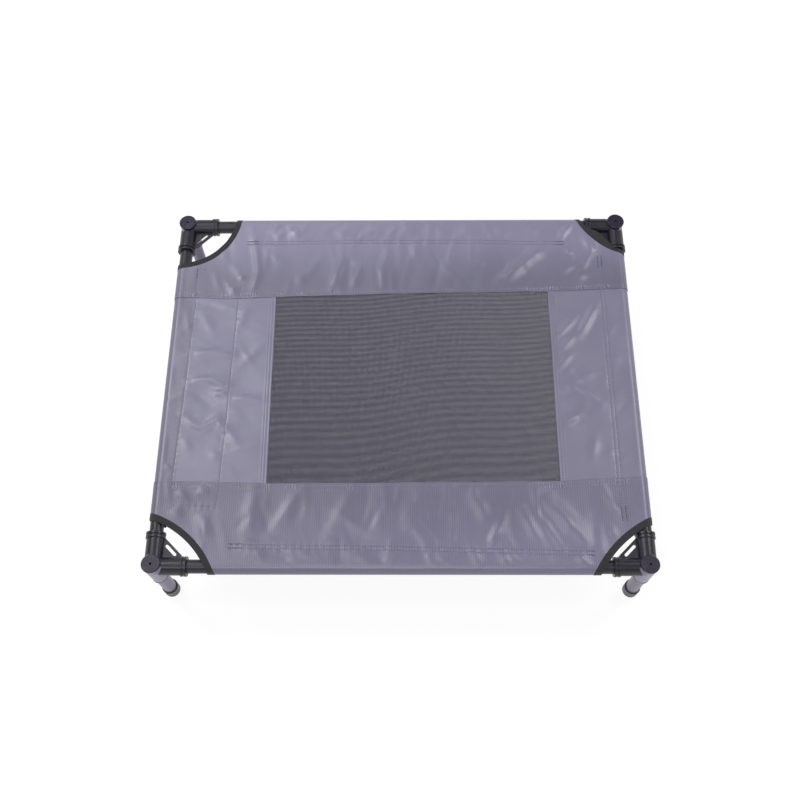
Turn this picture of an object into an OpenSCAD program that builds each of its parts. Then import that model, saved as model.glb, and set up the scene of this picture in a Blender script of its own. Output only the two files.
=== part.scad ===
// Raised dog cot. Four tube rails plug into moulded corner connectors, tube legs with foot
// caps push up into the same connectors, and a sewn cover with a mesh middle is stretched
// over the rails by sleeves. Each corner of the cover is cut away in a curve and bound.
// Millimetres, +Z up, front edge towards -Y, origin on the floor under the cot's middle.

/* [Frame] */
// Distance between the left and right leg axes
span_x = 880; // [700:1:1100]
// Distance between the front and back leg axes
span_y = 720; // [560:1:900]
// Height from the floor to the top of the corner caps
frame_h = 186; // [160:1:260]

/* [Tubes] */
// Outside diameter of the rail and leg tubes
tube_od = 25; // [23:0.5:27]
// Wall of the tubes
tube_wall = 1.2; // [0.8:0.1:2]
// Radial clearance of a tube in its socket or foot
tube_fit = 0.08; // [0.02:0.01:0.1]
// Space left between the end of a tube and its stop
end_gap = 0.2; // [0.1:0.1:0.6]

/* [Corner connectors] */
// Wall round a rail socket
socket_wall = 3.4; // [2.5:0.1:4.5]
// Distance from the leg axis to the mouth of a rail socket
arm_len = 61.5; // [56:0.5:68]
// Distance from the leg axis to the stop inside a rail socket
arm_stop = 18; // [16:0.5:26]
// Width of one ring of the collar at a socket's mouth
collar_ring_w = 4; // [2:0.5:5]
// Groove between the two rings of a collar
collar_groove_w = 3; // [1:0.5:4]
// Rise of the collar rings above the socket
collar_rise = 2; // [1:0.1:3]
// Floor in the hub that a leg stops against
leg_stop_t = 3; // [2:0.5:5]
// Depth of a leg in its socket
leg_insert = 46; // [40:1:70]
// Wall at the mouth of a leg socket
leg_mouth_wall = 1.9; // [1.5:0.1:2.5]
// Height of the rim round the mouth of a leg socket
leg_rim_h = 4; // [2:0.5:8]
// Rise of that rim above the mouth's wall
leg_rim_rise = 0.8; // [0.4:0.1:1.5]
// Reach of the corner web along both arms
web_reach = 70; // [66:0.5:76]
// Thickness of the corner web
web_t = 4; // [3:0.5:12]
// Reach of the web's slot along both arms, at the middle of the slot
slot_reach = 59; // [56:0.5:61]
// Length of the slot
slot_len = 28.5; // [15:0.5:30]
// Width of the slot
slot_w = 5.5; // [4:0.5:7]
// Diameter of the open core in the top of the hub
core_d = 18; // [12:0.5:20]
// Depth of that core
core_depth = 14; // [11:0.5:20]

/* [Corner caps] */
// Diameter of a corner cap
cap_od = 34; // [32:0.5:38]
// Thickness of a cap's disc
cap_t = 4; // [3:0.5:6]
// Chamfer round a cap's upper edge
cap_chamfer = 1.2; // [0.4:0.1:2]
// Length of the plug under a cap
cap_plug_len = 10; // [6:0.5:10.5]
// Wall of the plug
cap_plug_wall = 1.6; // [1:0.1:3]
// Clearance of the plug in the hub's core
cap_plug_fit = 0.05; // [0.02:0.01:0.2]
// Diameter of the dimple in a cap's middle
dimple_d = 4.5; // [3:0.5:8]
// Depth of that dimple
dimple_depth = 2.4; // [0.4:0.1:2.6]

/* [Feet] */
// Wall of a foot cap
foot_wall = 2.4; // [1.5:0.1:4]
// Height of a foot cap
foot_h = 26; // [15:1:40]
// Thickness of a foot's sole
foot_sole = 4; // [2:0.5:8]
// Chamfer round the sole
foot_chamfer = 1.5; // [0.5:0.1:2]

/* [Cover] */
// Thickness of the cover fabric
fabric_t = 1.2; // [0.8:0.1:2]
// Clearance of the sleeves round the rails
sleeve_gap = 0.3; // [0.2:0.1:0.8]
// Front rail axis to the edge of the mesh
front_band = 154; // [120:1:220]
// Back rail axis to the edge of the mesh
back_band = 168; // [130:1:220]
// Left rail axis to the edge of the mesh
left_band = 193; // [60:1:240]
// Right rail axis to the edge of the mesh
right_band = 147; // [60:1:240]
// Front rail axis to the seam that closes its sleeve
front_seam = 33; // [24:1:55]
// Back rail axis to the seam that closes its sleeve
back_seam = 45; // [24:1:55]
// Left rail axis to the seam that closes its sleeve
left_seam = 27; // [24:1:50]
// Right rail axis to the seam that closes its sleeve
right_seam = 41; // [24:1:50]
// Thickness of the mesh
mesh_t = 1; // [0.6:0.1:2]
// Lap of the mesh under the fabric panels
mesh_lap = 10; // [5:1:20]
// Openings across the mesh, which stand for its fine weave
mesh_gaps_x = 12; // [2:1:12]
// Openings from the front to the back of the mesh
mesh_gaps_y = 9; // [2:1:12]
// Width of an opening as a share of the distance between openings
mesh_gap_share = 0.3; // [0.1:0.05:0.8]

/* [Cover corners] */
// Radius of the curved edge at each corner
cut_r = 190; // [170:1:230]
// Leg axis to the middle of the curved edge, front left corner
cut_front_left = 85; // [62:1:105]
// Leg axis to the middle of the curved edge, front right corner
cut_front_right = 73; // [62:1:105]
// Leg axis to the middle of the curved edge, back right corner
cut_back_right = 63; // [62:1:105]
// Leg axis to the middle of the curved edge, back left corner
cut_back_left = 102; // [62:1:105]
// Width of the binding tape on the curved edge
binding_w = 12; // [8:0.5:14]
// Rise of the binding above the fabric
binding_t = 0.9; // [0.5:0.1:1.5]
// Clearance of the cover from the connectors' collars
collar_gap = 0.5; // [0.3:0.1:1]

/* [Hidden] */
$fn = 96;
overcut = 1;
// Half the angle of a corner's curved edge and the angle of one of its flats
cut_half_angle = 40;
cut_step = 8;
// Flats that make up the round stretch of a sleeve
sleeve_steps = 24;

bore_r = tube_od / 2 + tube_fit;
socket_r = bore_r + socket_wall;
collar_r = socket_r + collar_rise;
collar_w = 2 * collar_ring_w + collar_groove_w;
rail_z = frame_h - cap_t - socket_r;
hub_top_z = frame_h - cap_t;
leg_stop_z = rail_z - bore_r - leg_stop_t;
leg_mouth_z = leg_stop_z - leg_insert;
foot_r = bore_r + foot_wall;

sleeve_r = tube_od / 2 + sleeve_gap;
fabric_r = sleeve_r + fabric_t;
binding_r = fabric_r + binding_t;
sleeve_start = arm_len + collar_gap;
mesh_left = left_band - span_x / 2;
mesh_right = span_x / 2 - right_band;
mesh_front = front_band - span_y / 2;
mesh_back = span_y / 2 - back_band;

PLASTIC = [0.21, 0.21, 0.23];
STEEL = [0.25, 0.24, 0.27];
FABRIC = [0.55, 0.53, 0.61];
MESH = [0.38, 0.38, 0.40];
TAPE = [0.17, 0.17, 0.19];

// A corner is its name, the signs of its place and the reach of the cover's cut there.
CORNERS = [
    ["front_left", -1, -1, cut_front_left],
    ["front_right", 1, -1, cut_front_right],
    ["back_right", 1, 1, cut_back_right],
    ["back_left", -1, 1, cut_back_left],
];

// A side is its name, its rail's half length between leg axes and its sleeve's seam.
FRONT = ["front", span_x / 2, front_seam];
BACK = ["back", span_x / 2, back_seam];
LEFT = ["left", span_y / 2, left_seam];
RIGHT = ["right", span_y / 2, right_seam];
SIDES = [FRONT, BACK, LEFT, RIGHT];

// Puts a shape that is drawn for the corner at +X, +Y of a leg axis at one of the corners,
// so that its two arms point along the rails.
module at_corner(corner) {
    translate([corner[1] * span_x / 2, corner[2] * span_y / 2, 0])
        mirror([corner[1] > 0 ? 1 : 0, 0, 0])
            mirror([0, corner[2] > 0 ? 1 : 0, 0])
                children();
}

// Puts a shape that is drawn along +X at the rail axis, with the cot's middle towards +Y,
// on one of the four sides. Positions along the rail keep their X or Y value.
module on_side(side) {
    if (side[0] == "front")
        translate([0, -span_y / 2, rail_z]) children();
    if (side[0] == "back")
        translate([0, span_y / 2, rail_z]) mirror([0, 1, 0]) children();
    if (side[0] == "left")
        translate([-span_x / 2, 0, rail_z]) mirror([1, -1, 0]) children();
    if (side[0] == "right")
        translate([span_x / 2, 0, rail_z]) mirror([1, 0, 0]) mirror([1, -1, 0]) children();
}

module tube(len) {
    difference() {
        cylinder(d = tube_od, h = len);
        translate([0, 0, -overcut]) cylinder(d = tube_od - 2 * tube_wall, h = len + 2 * overcut);
    }
}

// Both arms of a connector carry the same shape, drawn along +Z from the leg axis.
module on_both_arms() {
    translate([0, 0, rail_z]) {
        rotate([0, 90, 0]) children();
        rotate([-90, 0, 0]) children();
    }
}

module rail_socket() {
    cylinder(r = socket_r, h = arm_len);
    for (z = [arm_len - collar_w, arm_len - collar_ring_w])
        translate([0, 0, z]) cylinder(r = collar_r, h = collar_ring_w);
}

module leg_socket() {
    mouth_r = bore_r + leg_mouth_wall;
    translate([0, 0, leg_mouth_z]) {
        cylinder(r1 = mouth_r, r2 = socket_r, h = rail_z - leg_mouth_z);
        cylinder(r = mouth_r + leg_rim_rise, h = leg_rim_h);
    }
    translate([0, 0, rail_z]) cylinder(r = socket_r, h = hub_top_z - rail_z);
}

// Flat web between the arms, with its long edge at 45 degrees and a slot along that edge.
module corner_web() {
    side = arm_len - collar_w;
    slot_mid = slot_reach / 2;
    slot_half = (slot_len - slot_w) / 2;
    translate([0, 0, rail_z - web_t / 2])
        linear_extrude(web_t)
            difference() {
                polygon([[0, 0], [side, 0], [side, web_reach - side], [web_reach - side, side], [0, side]]);
                translate([slot_mid, slot_mid]) rotate(-45) {
                    square([2 * slot_half, slot_w], center = true);
                    for (end = [-1, 1])
                        translate([end * slot_half, 0]) circle(d = slot_w);
                }
            }
}

module connector(corner) {
    color(PLASTIC)
        at_corner(corner)
            difference() {
                union() {
                    leg_socket();
                    on_both_arms() rail_socket();
                    corner_web();
                }
                on_both_arms()
                    translate([0, 0, arm_stop]) cylinder(r = bore_r, h = arm_len - arm_stop + overcut);
                translate([0, 0, leg_mouth_z - overcut])
                    cylinder(r = bore_r, h = leg_stop_z - leg_mouth_z + overcut);
                translate([0, 0, hub_top_z - core_depth]) cylinder(d = core_d, h = core_depth + overcut);
            }
}

module cap(corner) {
    disc_r = cap_od / 2;
    plug_r = core_d / 2 - cap_plug_fit;
    color(PLASTIC)
        at_corner(corner)
            translate([0, 0, hub_top_z])
                rotate_extrude()
                    polygon([
                        [0, 0],
                        [plug_r - cap_plug_wall, 0],
                        [plug_r - cap_plug_wall, -cap_plug_len],
                        [plug_r, -cap_plug_len],
                        [plug_r, 0],
                        [disc_r, 0],
                        [disc_r, cap_t - cap_chamfer],
                        [disc_r - cap_chamfer, cap_t],
                        [dimple_d / 2, cap_t],
                        [dimple_d / 2, cap_t - dimple_depth],
                        [0, cap_t - dimple_depth],
                    ]);
}

module rail(side) {
    half = side[1] - arm_stop - end_gap;
    color(STEEL)
        on_side(side)
            translate([-half, 0, 0]) rotate([0, 90, 0]) tube(2 * half);
}

module leg(corner) {
    color(STEEL)
        at_corner(corner)
            translate([0, 0, foot_sole]) tube(leg_stop_z - end_gap - foot_sole);
}

module foot(corner) {
    color(PLASTIC)
        at_corner(corner)
            rotate_extrude()
                polygon([
                    [0, 0],
                    [foot_r - foot_chamfer, 0],
                    [foot_r, foot_chamfer],
                    [foot_r, foot_h],
                    [bore_r, foot_h],
                    [bore_r, foot_sole],
                    [0, foot_sole],
                ]);
}

// Points of an arc about the rail's axis.
function arc_points(r, from, to) =
    [for (i = [0 : sleeve_steps]) let (a = from + (to - from) * i / sleeve_steps) r * [cos(a), sin(a)]];

// Section of a sleeve: it goes round the rail from the top, down the outside and under it,
// then straight up to the seam on the underside of the cover. X points to the cot's middle.
module sleeve_section(outer_r, seam) {
    leave = 270 + 2 * atan2(sleeve_r, seam);
    rise = (seam + fabric_t) * [-sin(leave), cos(leave)];
    polygon(concat(
        [[fabric_t, outer_r]],
        arc_points(outer_r, 90, leave),
        [for (r = [outer_r, sleeve_r]) r * [cos(leave), sin(leave)] + rise],
        arc_points(sleeve_r, leave, 90),
        [[fabric_t, sleeve_r]]
    ));
}

// Sleeve on one side, between two positions along its rail.
module sleeve(side, from, to, outer_r) {
    on_side(side)
        translate([from, 0, 0])
            rotate([90, 0, 90]) linear_extrude(to - from) sleeve_section(outer_r, side[2]);
}

// Flat stretch of cover between two corners of a rectangle, level with the sleeves' tops.
module flat(low, high, outer_r) {
    translate([low[0], low[1], rail_z + sleeve_r])
        cube([high[0] - low[0], high[1] - low[1], outer_r - sleeve_r]);
}

// Upright column whose face is the curved edge of the cover at a corner, made of short flats.
// Its axis lies outside the leg, on the corner's diagonal.
module cut_column(corner, r) {
    outside = (cut_r - corner[3]) / sqrt(2);
    arc = [for (a = [45 - cut_half_angle : cut_step : 45 + cut_half_angle]) r * [cos(a), sin(a)]];
    at_corner(corner)
        translate([-outside, -outside, leg_stop_z])
            linear_extrude(frame_h - leg_stop_z) polygon(concat([[0, 0]], arc));
}

// Room for a connector's collars.
module collar_room(corner) {
    at_corner(corner)
        on_both_arms()
            cylinder(r = collar_r + collar_gap, h = sleeve_start);
}

// Band of cover along the front or back rail. Its ends also go round the left and right
// rails, between the curved corners and the edge of the mesh.
module end_panel(side, low_y, high_y) {
    start = span_x / 2 - sleeve_start;
    color(FABRIC)
        difference() {
            union() {
                flat([-span_x / 2, low_y], [span_x / 2, high_y], fabric_r);
                sleeve(side, -start, start, fabric_r);
                for (end = [LEFT, RIGHT])
                    sleeve(end, max(low_y, sleeve_start - span_y / 2), min(high_y, span_y / 2 - sleeve_start),
                           fabric_r);
            }
            for (corner = CORNERS) {
                cut_column(corner, cut_r);
                collar_room(corner);
            }
        }
}

// Panel between the two bands, from the left or right rail to the edge of the mesh.
module side_panel(side, low_x, high_x) {
    color(FABRIC) {
        flat([low_x, mesh_front], [high_x, mesh_back], fabric_r);
        sleeve(side, mesh_front, mesh_back, fabric_r);
    }
}

// Sheet with a plain grid of openings, which stand for the many small ones of the weave.
module mesh_panel() {
    shown = [mesh_right - mesh_left, mesh_back - mesh_front];
    pitch = [shown[0] / mesh_gaps_x, shown[1] / mesh_gaps_y];
    color(MESH)
        translate([mesh_left, mesh_front, rail_z + sleeve_r - mesh_t])
            linear_extrude(mesh_t)
                difference() {
                    translate([-mesh_lap, -mesh_lap]) square(shown + 2 * [mesh_lap, mesh_lap]);
                    for (column = [0.5 : mesh_gaps_x - 0.5], row = [0.5 : mesh_gaps_y - 0.5])
                        translate([column * pitch[0], row * pitch[1]])
                            square(mesh_gap_share * pitch, center = true);
                }
}

// Tape folded round the curved edge of one corner and round the ends of its two sleeves.
module binding(corner) {
    left_right = corner[1] < 0 ? LEFT : RIGHT;
    front_back = corner[2] < 0 ? FRONT : BACK;
    rail_x = corner[1] * span_x / 2;
    rail_y = corner[2] * span_y / 2;
    inner_x = corner[1] * (span_x / 2 - cut_r);
    inner_y = corner[2] * (span_y / 2 - cut_r);
    start_x = corner[1] * (span_x / 2 - sleeve_start);
    start_y = corner[2] * (span_y / 2 - sleeve_start);
    color(TAPE)
        difference() {
            intersection() {
                union() {
                    flat([min(rail_x, inner_x), min(rail_y, inner_y)],
                         [max(rail_x, inner_x), max(rail_y, inner_y)], binding_r);
                    sleeve(front_back, min(start_x, inner_x), max(start_x, inner_x), binding_r);
                    sleeve(left_right, min(start_y, inner_y), max(start_y, inner_y), binding_r);
                }
                cut_column(corner, cut_r);
            }
            cut_column(corner, cut_r - binding_w);
            collar_room(corner);
        }
}

for (c = CORNERS) {
    connector(c);
    cap(c);
    leg(c);
    foot(c);
    binding(c);
}
for (s = SIDES)
    rail(s);
end_panel(FRONT, -span_y / 2, mesh_front);  // cover_front_panel
end_panel(BACK, mesh_back, span_y / 2);  // cover_back_panel
side_panel(LEFT, -span_x / 2, mesh_left);  // cover_left_panel
side_panel(RIGHT, mesh_right, span_x / 2);  // cover_right_panel
mesh_panel();
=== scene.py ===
"""Looks of the raised dog cot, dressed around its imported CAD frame.

Sizes inside the classes are millimetres in the CAD frame, and every mesh is written in metres.
"""

from __future__ import annotations

import logging
import math
from collections.abc import Sequence
from dataclasses import dataclass, field
from enum import Enum

import bpy
import numpy as np
from mathutils import Matrix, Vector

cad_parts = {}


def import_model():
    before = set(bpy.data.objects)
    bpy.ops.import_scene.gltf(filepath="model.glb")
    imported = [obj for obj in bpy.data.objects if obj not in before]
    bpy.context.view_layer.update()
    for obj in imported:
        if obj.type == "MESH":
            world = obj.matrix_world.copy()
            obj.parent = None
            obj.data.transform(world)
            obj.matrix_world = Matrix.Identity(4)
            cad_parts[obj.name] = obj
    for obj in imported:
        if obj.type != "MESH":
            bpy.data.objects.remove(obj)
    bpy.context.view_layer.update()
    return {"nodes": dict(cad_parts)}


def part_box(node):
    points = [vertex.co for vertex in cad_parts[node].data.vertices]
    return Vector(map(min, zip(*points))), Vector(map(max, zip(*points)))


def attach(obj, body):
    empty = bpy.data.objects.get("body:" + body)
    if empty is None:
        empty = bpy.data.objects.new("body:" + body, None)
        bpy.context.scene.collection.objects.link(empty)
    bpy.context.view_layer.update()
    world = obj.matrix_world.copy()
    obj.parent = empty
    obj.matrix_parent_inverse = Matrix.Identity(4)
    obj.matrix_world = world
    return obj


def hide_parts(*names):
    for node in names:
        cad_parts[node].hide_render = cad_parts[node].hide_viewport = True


LOG = logging.getLogger("cot")
Array = np.ndarray
Line = tuple[tuple[float, float], ...]
Colour = tuple[float, float, float]
Run = tuple[float, float]
CutShapes = tuple[tuple[float, ...], ...]

MM = 0.001
TURN = 2.0 * math.pi
# Millimetres from a hem's edge over which the cloth's tone goes from 0 to 1
HEM_SPAN = 30.0
BEVEL_SAMPLES = 6
UV_NAME = "cloth"
TONE_NAME = "tone"
FRAME_BODY = "frame"


class Sock:
    """An output socket of a shader node, on which Python's arithmetic adds Math nodes."""

    def __init__(self, graph: Graph, socket: bpy.types.NodeSocket) -> None:
        """Keeps the node tree and the socket."""
        self.graph = graph
        self.socket = socket

    def sibling(self, name: str) -> Sock:
        """Another output of the same node, by name."""
        return Sock(self.graph, self.socket.node.outputs[name])

    def math(self, operation: str, *values: Sock | float) -> Sock:
        """A Math node of that operation on the values in order."""
        return self.graph.node("ShaderNodeMath", {"operation": operation}, dict(enumerate(values)))

    def __add__(self, other: Sock | float) -> Sock:
        """The sum."""
        return self.math("ADD", self, other)

    def __sub__(self, other: Sock | float) -> Sock:
        """The difference."""
        return self.math("SUBTRACT", self, other)

    def __rsub__(self, other: float) -> Sock:
        """The difference from a number."""
        return self.math("SUBTRACT", other, self)

    def __mul__(self, other: Sock | float) -> Sock:
        """The product."""
        return self.math("MULTIPLY", self, other)

    def sine(self) -> Sock:
        """The sine of an angle in radians."""
        return self.math("SINE", self)

    def __abs__(self) -> Sock:
        """The size without its sign."""
        return self.math("ABSOLUTE", self)

    def maximum(self, other: Sock | float) -> Sock:
        """The larger of the two."""
        return self.math("MAXIMUM", self, other)


class Graph:
    """The node tree of one material or of the world."""

    def __init__(self, tree: bpy.types.NodeTree) -> None:
        """Empties the tree and keeps it."""
        self.tree = tree
        tree.nodes.clear()

    def node(
        self,
        kind: str,
        settings: dict[str, object] | None = None,
        inputs: dict[str | int, object] | None = None,
        out: str | int = 0,
    ) -> Sock | None:
        """Adds a node.

        Args:
            kind: Blender's name of the node type.
            settings: properties of the node, set before its sockets.
            inputs: values or links of its input sockets, by name or place.
            out: the output to return.

        Returns:
            The named output, or None for a node that has none.
        """
        made = self.tree.nodes.new(kind)
        for key, value in (settings or {}).items():
            setattr(made, key, value)
        for key, value in (inputs or {}).items():
            if isinstance(value, Sock):
                self.tree.links.new(value.socket, made.inputs[key])
            else:
                made.inputs[key].default_value = value
        return Sock(self, made.outputs[out]) if made.outputs else None

    def place(self) -> Sock:
        """The shaded point in its object's frame, in metres."""
        return self.node("ShaderNodeTexCoord", {}, {}, "Object")

    def flat_cut(self) -> Sock:
        """The shaded point on the cloth's flat cut, in metres."""
        return self.node("ShaderNodeUVMap", {"uv_map": UV_NAME})

    def tone(self) -> Sock:
        """The number that the mesh carries at the shaded point."""
        return self.node("ShaderNodeAttribute", {"attribute_name": TONE_NAME}, {}, "Fac")

    def part(self, vector: Sock, axis: str) -> Sock:
        """One coordinate of a vector, with the others as its siblings."""
        return self.node("ShaderNodeSeparateXYZ", {}, {0: vector}, axis)

    def noise(self, place: Sock, scale: float, detail: float) -> Sock:
        """Soft noise from 0 to 1 at a scale in features per unit of place."""
        inputs = {"Vector": place, "Scale": scale, "Detail": detail}
        return self.node("ShaderNodeTexNoise", {}, inputs)

    def streaks(self, place: Sock, scales: Colour, detail: float) -> Sock:
        """Soft noise from 0 to 1 with a scale of its own in each direction."""
        drawn = self.node("ShaderNodeVectorMath", {"operation": "MULTIPLY"}, {0: place, 1: scales})
        return self.noise(drawn, 1.0, detail)

    def ramp(self, value: Sock, low: float, high: float) -> Sock:
        """A smooth step that is 0 below low and 1 above high.

        Args:
            value: the number to step on.
            low: where the step begins.
            high: where it ends.

        Returns:
            The step.
        """
        return self.node(
            "ShaderNodeMapRange",
            {"interpolation_type": "SMOOTHSTEP"},
            {0: value, 1: low, 2: high, 3: 0.0, 4: 1.0},
        )

    def blend(self, share: Sock, first: Colour | Sock, second: Colour | Sock) -> Sock:
        """A colour between two others.

        Args:
            share: 0 for the first colour and 1 for the second.
            first: a colour, or a socket that gives one.
            second: a colour, or a socket that gives one.

        Returns:
            The mixed colour.
        """
        ends = [c if isinstance(c, Sock) else (*c, 1.0) for c in (first, second)]
        return self.node(
            "ShaderNodeMix", {"data_type": "RGBA"}, {0: share, 6: ends[0], 7: ends[1]}, 2
        )

    def rounded(self, edge: float) -> Sock:
        """A normal that makes edges look rounded to that many millimetres."""
        return self.node("ShaderNodeBevel", {"samples": BEVEL_SAMPLES}, {"Radius": edge * MM})

    def bump(
        self, height: Sock, depth: float, strength: float = 1.0, normal: Sock | None = None
    ) -> Sock:
        """A normal bent by a height field that is depth millimetres deep from 0 to 1."""
        inputs = {"Height": height, "Distance": depth * MM, "Strength": strength}
        return self.node("ShaderNodeBump", {}, inputs | ({"Normal": normal} if normal else {}))

    def principled(
        self,
        colour: Sock,
        roughness: Sock,
        normal: Sock,
        specular: float = 0.5,
        sheen: float = 0.0,
    ) -> Sock:
        """A surface shader.

        Args:
            colour: its base colour.
            roughness: its roughness.
            normal: its bent normal.
            specular: the level of its reflection, 0.5 for plain plastic.
            sheen: the weight of its fuzz.

        Returns:
            The shader.
        """
        return self.node(
            "ShaderNodeBsdfPrincipled",
            {},
            {
                "Base Color": colour,
                "Roughness": roughness,
                "Normal": normal,
                "Specular IOR Level": specular,
                "Sheen Weight": sheen,
            },
        )


@dataclass(frozen=True)
class Finish:
    """A surface finish, which makes one material."""

    name: str
    colour: Colour

    def shade(self, g: Graph) -> Sock:
        """The finish's shader in the given tree."""
        raise NotImplementedError

    def toned(self, low: float, high: float) -> tuple[Colour, Colour]:
        """The colour at two levels of brightness."""
        return tuple(tuple(c * k for c in self.colour) for k in (low, high))

    def material(self) -> bpy.types.Material:
        """Makes the material.

        Returns:
            The new material.
        """
        made = bpy.data.materials.new(self.name)
        made.use_nodes = True
        g = Graph(made.node_tree)
        g.node("ShaderNodeOutputMaterial", {}, {"Surface": self.shade(g)})
        return made


@dataclass(frozen=True)
class CoverCloth(Finish):
    """Coated plain-weave cloth with faint ribs across it and ticks where the hem's thread pulls it.

    Lengths are millimetres, and the scales of its noises are features a metre. Over a run from the
    cot's centre towards the rail, and along the rail too, it is painted a little lighter or darker
    as painted light and shade.
    """

    weave: float = 1.3
    rib: float = 4.0
    rib_depth: float = 0.10
    tick: float = 0.0
    tick_pitch: float = 5.2
    tick_reach: float = 14.0
    painted_light_run: Run = (300.0, 400.0)
    fade: float = 0.0
    painted_light_along: float = 0.0
    roughness: float = 0.38
    cloud_scale: float = 13.0
    wander_scale: float = 110.0
    drift_scales: Colour = (60.0, 9.0, 1.0)
    slub_scales: Colour = (640.0, 22.0, 1.0)
    pull_scales: Colour = (35.0, 6.0, 1.0)

    def shade(self, g: Graph) -> Sock:
        """Weave and ribs follow the cloth's flat cut, and ticks its distance from the hem.

        Args:
            g: the material's node tree.

        Returns:
            The surface shader.
        """
        uv = g.flat_cut()
        split = g.part(uv, "X")
        along, across = split * (TURN / MM), split.sibling("Y") * (TURN / MM)
        cloud = g.noise(uv, self.cloud_scale, 4.0) - 0.5
        drift = g.streaks(uv, self.drift_scales, 2.0)
        slub = g.streaks(uv, self.slub_scales, 1.0) - 0.5
        threads = (along * (1.0 / self.weave)).sine() * (across * (1.0 / self.weave)).sine()
        rib_strength = g.ramp(drift, 0.3, 0.62) * 0.6 + 0.4
        ribs = (along * (1.0 / self.rib) + drift * 1.5).sine() * rib_strength
        hem = g.tone() * HEM_SPAN
        past_hem = g.ramp(hem, self.tick_reach - 6.0, self.tick_reach)
        on_hem = g.ramp(hem, 1.0, 3.0) * (1.0 - past_hem)
        pulled = g.ramp(g.streaks(uv, self.pull_scales, 2.0), 0.42, 0.62) * on_hem * self.tick
        wander = g.noise(uv, self.wander_scale, 1.0) * 12.0
        ticks = (along * (1.0 / self.tick_pitch) + wander).sine() * pulled
        # A ramp towards the rail and a run along it paint the cloth lighter or darker: painted light
        # and shade
        start, end = self.painted_light_run
        outer = g.ramp(split.sibling("Y"), start * MM, end * MM) - 0.4
        painted_light_shade = outer * self.fade + split * self.painted_light_along
        # The ticks bend the bump as puckers, and in the colour they are painted light and shade of
        # those puckers
        yarns = cloud * 0.42 + slub * 0.2 + threads * 0.08 + ribs * self.rib_depth + ticks * 0.7
        height = threads * 0.05 + ribs * self.rib_depth * 0.5 + slub * 0.12 + ticks * 0.6
        return g.principled(
            g.blend(yarns * 0.5 + painted_light_shade + 0.5, *self.toned(0.6, 1.4)),
            cloud * 0.12 + self.roughness,
            g.bump(height, 0.22),
            specular=0.8,
            sheen=0.08,
        )


@dataclass(frozen=True)
class MeshYarn(Finish):
    """Coated yarn of the open mesh, a little different from yarn to yarn."""

    grain: float = 900.0

    def shade(self, g: Graph) -> Sock:
        """Each yarn carries its own tone, and fine noise breaks up its coat.

        Args:
            g: the material's node tree.

        Returns:
            The surface shader.
        """
        grain = g.noise(g.place(), self.grain, 2.0) - 0.5
        return g.principled(
            g.blend(g.tone() + grain * 0.25, *self.toned(0.55, 1.45)),
            grain * 0.2 + 0.5,
            g.bump(grain, 0.1),
            specular=0.4,
        )


@dataclass(frozen=True)
class RibbedTape(Finish):
    """Woven binding tape with fine ribs across it."""

    rib: float = 1.1
    fuzz_scales: Colour = (700.0, 260.0, 1.0)

    def shade(self, g: Graph) -> Sock:
        """Ribs and fuzz follow the tape's flat cut.

        Args:
            g: the material's node tree.

        Returns:
            The surface shader.
        """
        uv = g.flat_cut()
        ribs = (g.part(uv, "X") * (TURN / MM / self.rib)).sine()
        fuzz = g.streaks(uv, self.fuzz_scales, 2.0) - 0.5
        return g.principled(
            g.blend(ribs * 0.2 + fuzz * 0.6 + 0.5, *self.toned(0.6, 1.4)),
            fuzz * 0.2 + 0.72,
            g.bump(ribs * 0.5 + fuzz, 0.25),
            specular=0.35,
            sheen=0.15,
        )


@dataclass(frozen=True)
class SewingThread(Finish):
    """Twisted sewing thread."""

    twist: float = 2400.0

    def shade(self, g: Graph) -> Sock:
        """A fine noise along the thread stands for its twist.

        Args:
            g: the material's node tree.

        Returns:
            The surface shader.
        """
        twist = g.noise(g.place(), self.twist, 1.0)
        colour = g.blend(twist, *self.toned(0.7, 1.3))
        return g.principled(colour, twist * 0.2 + 0.5, g.bump(twist, 0.15))


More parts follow.
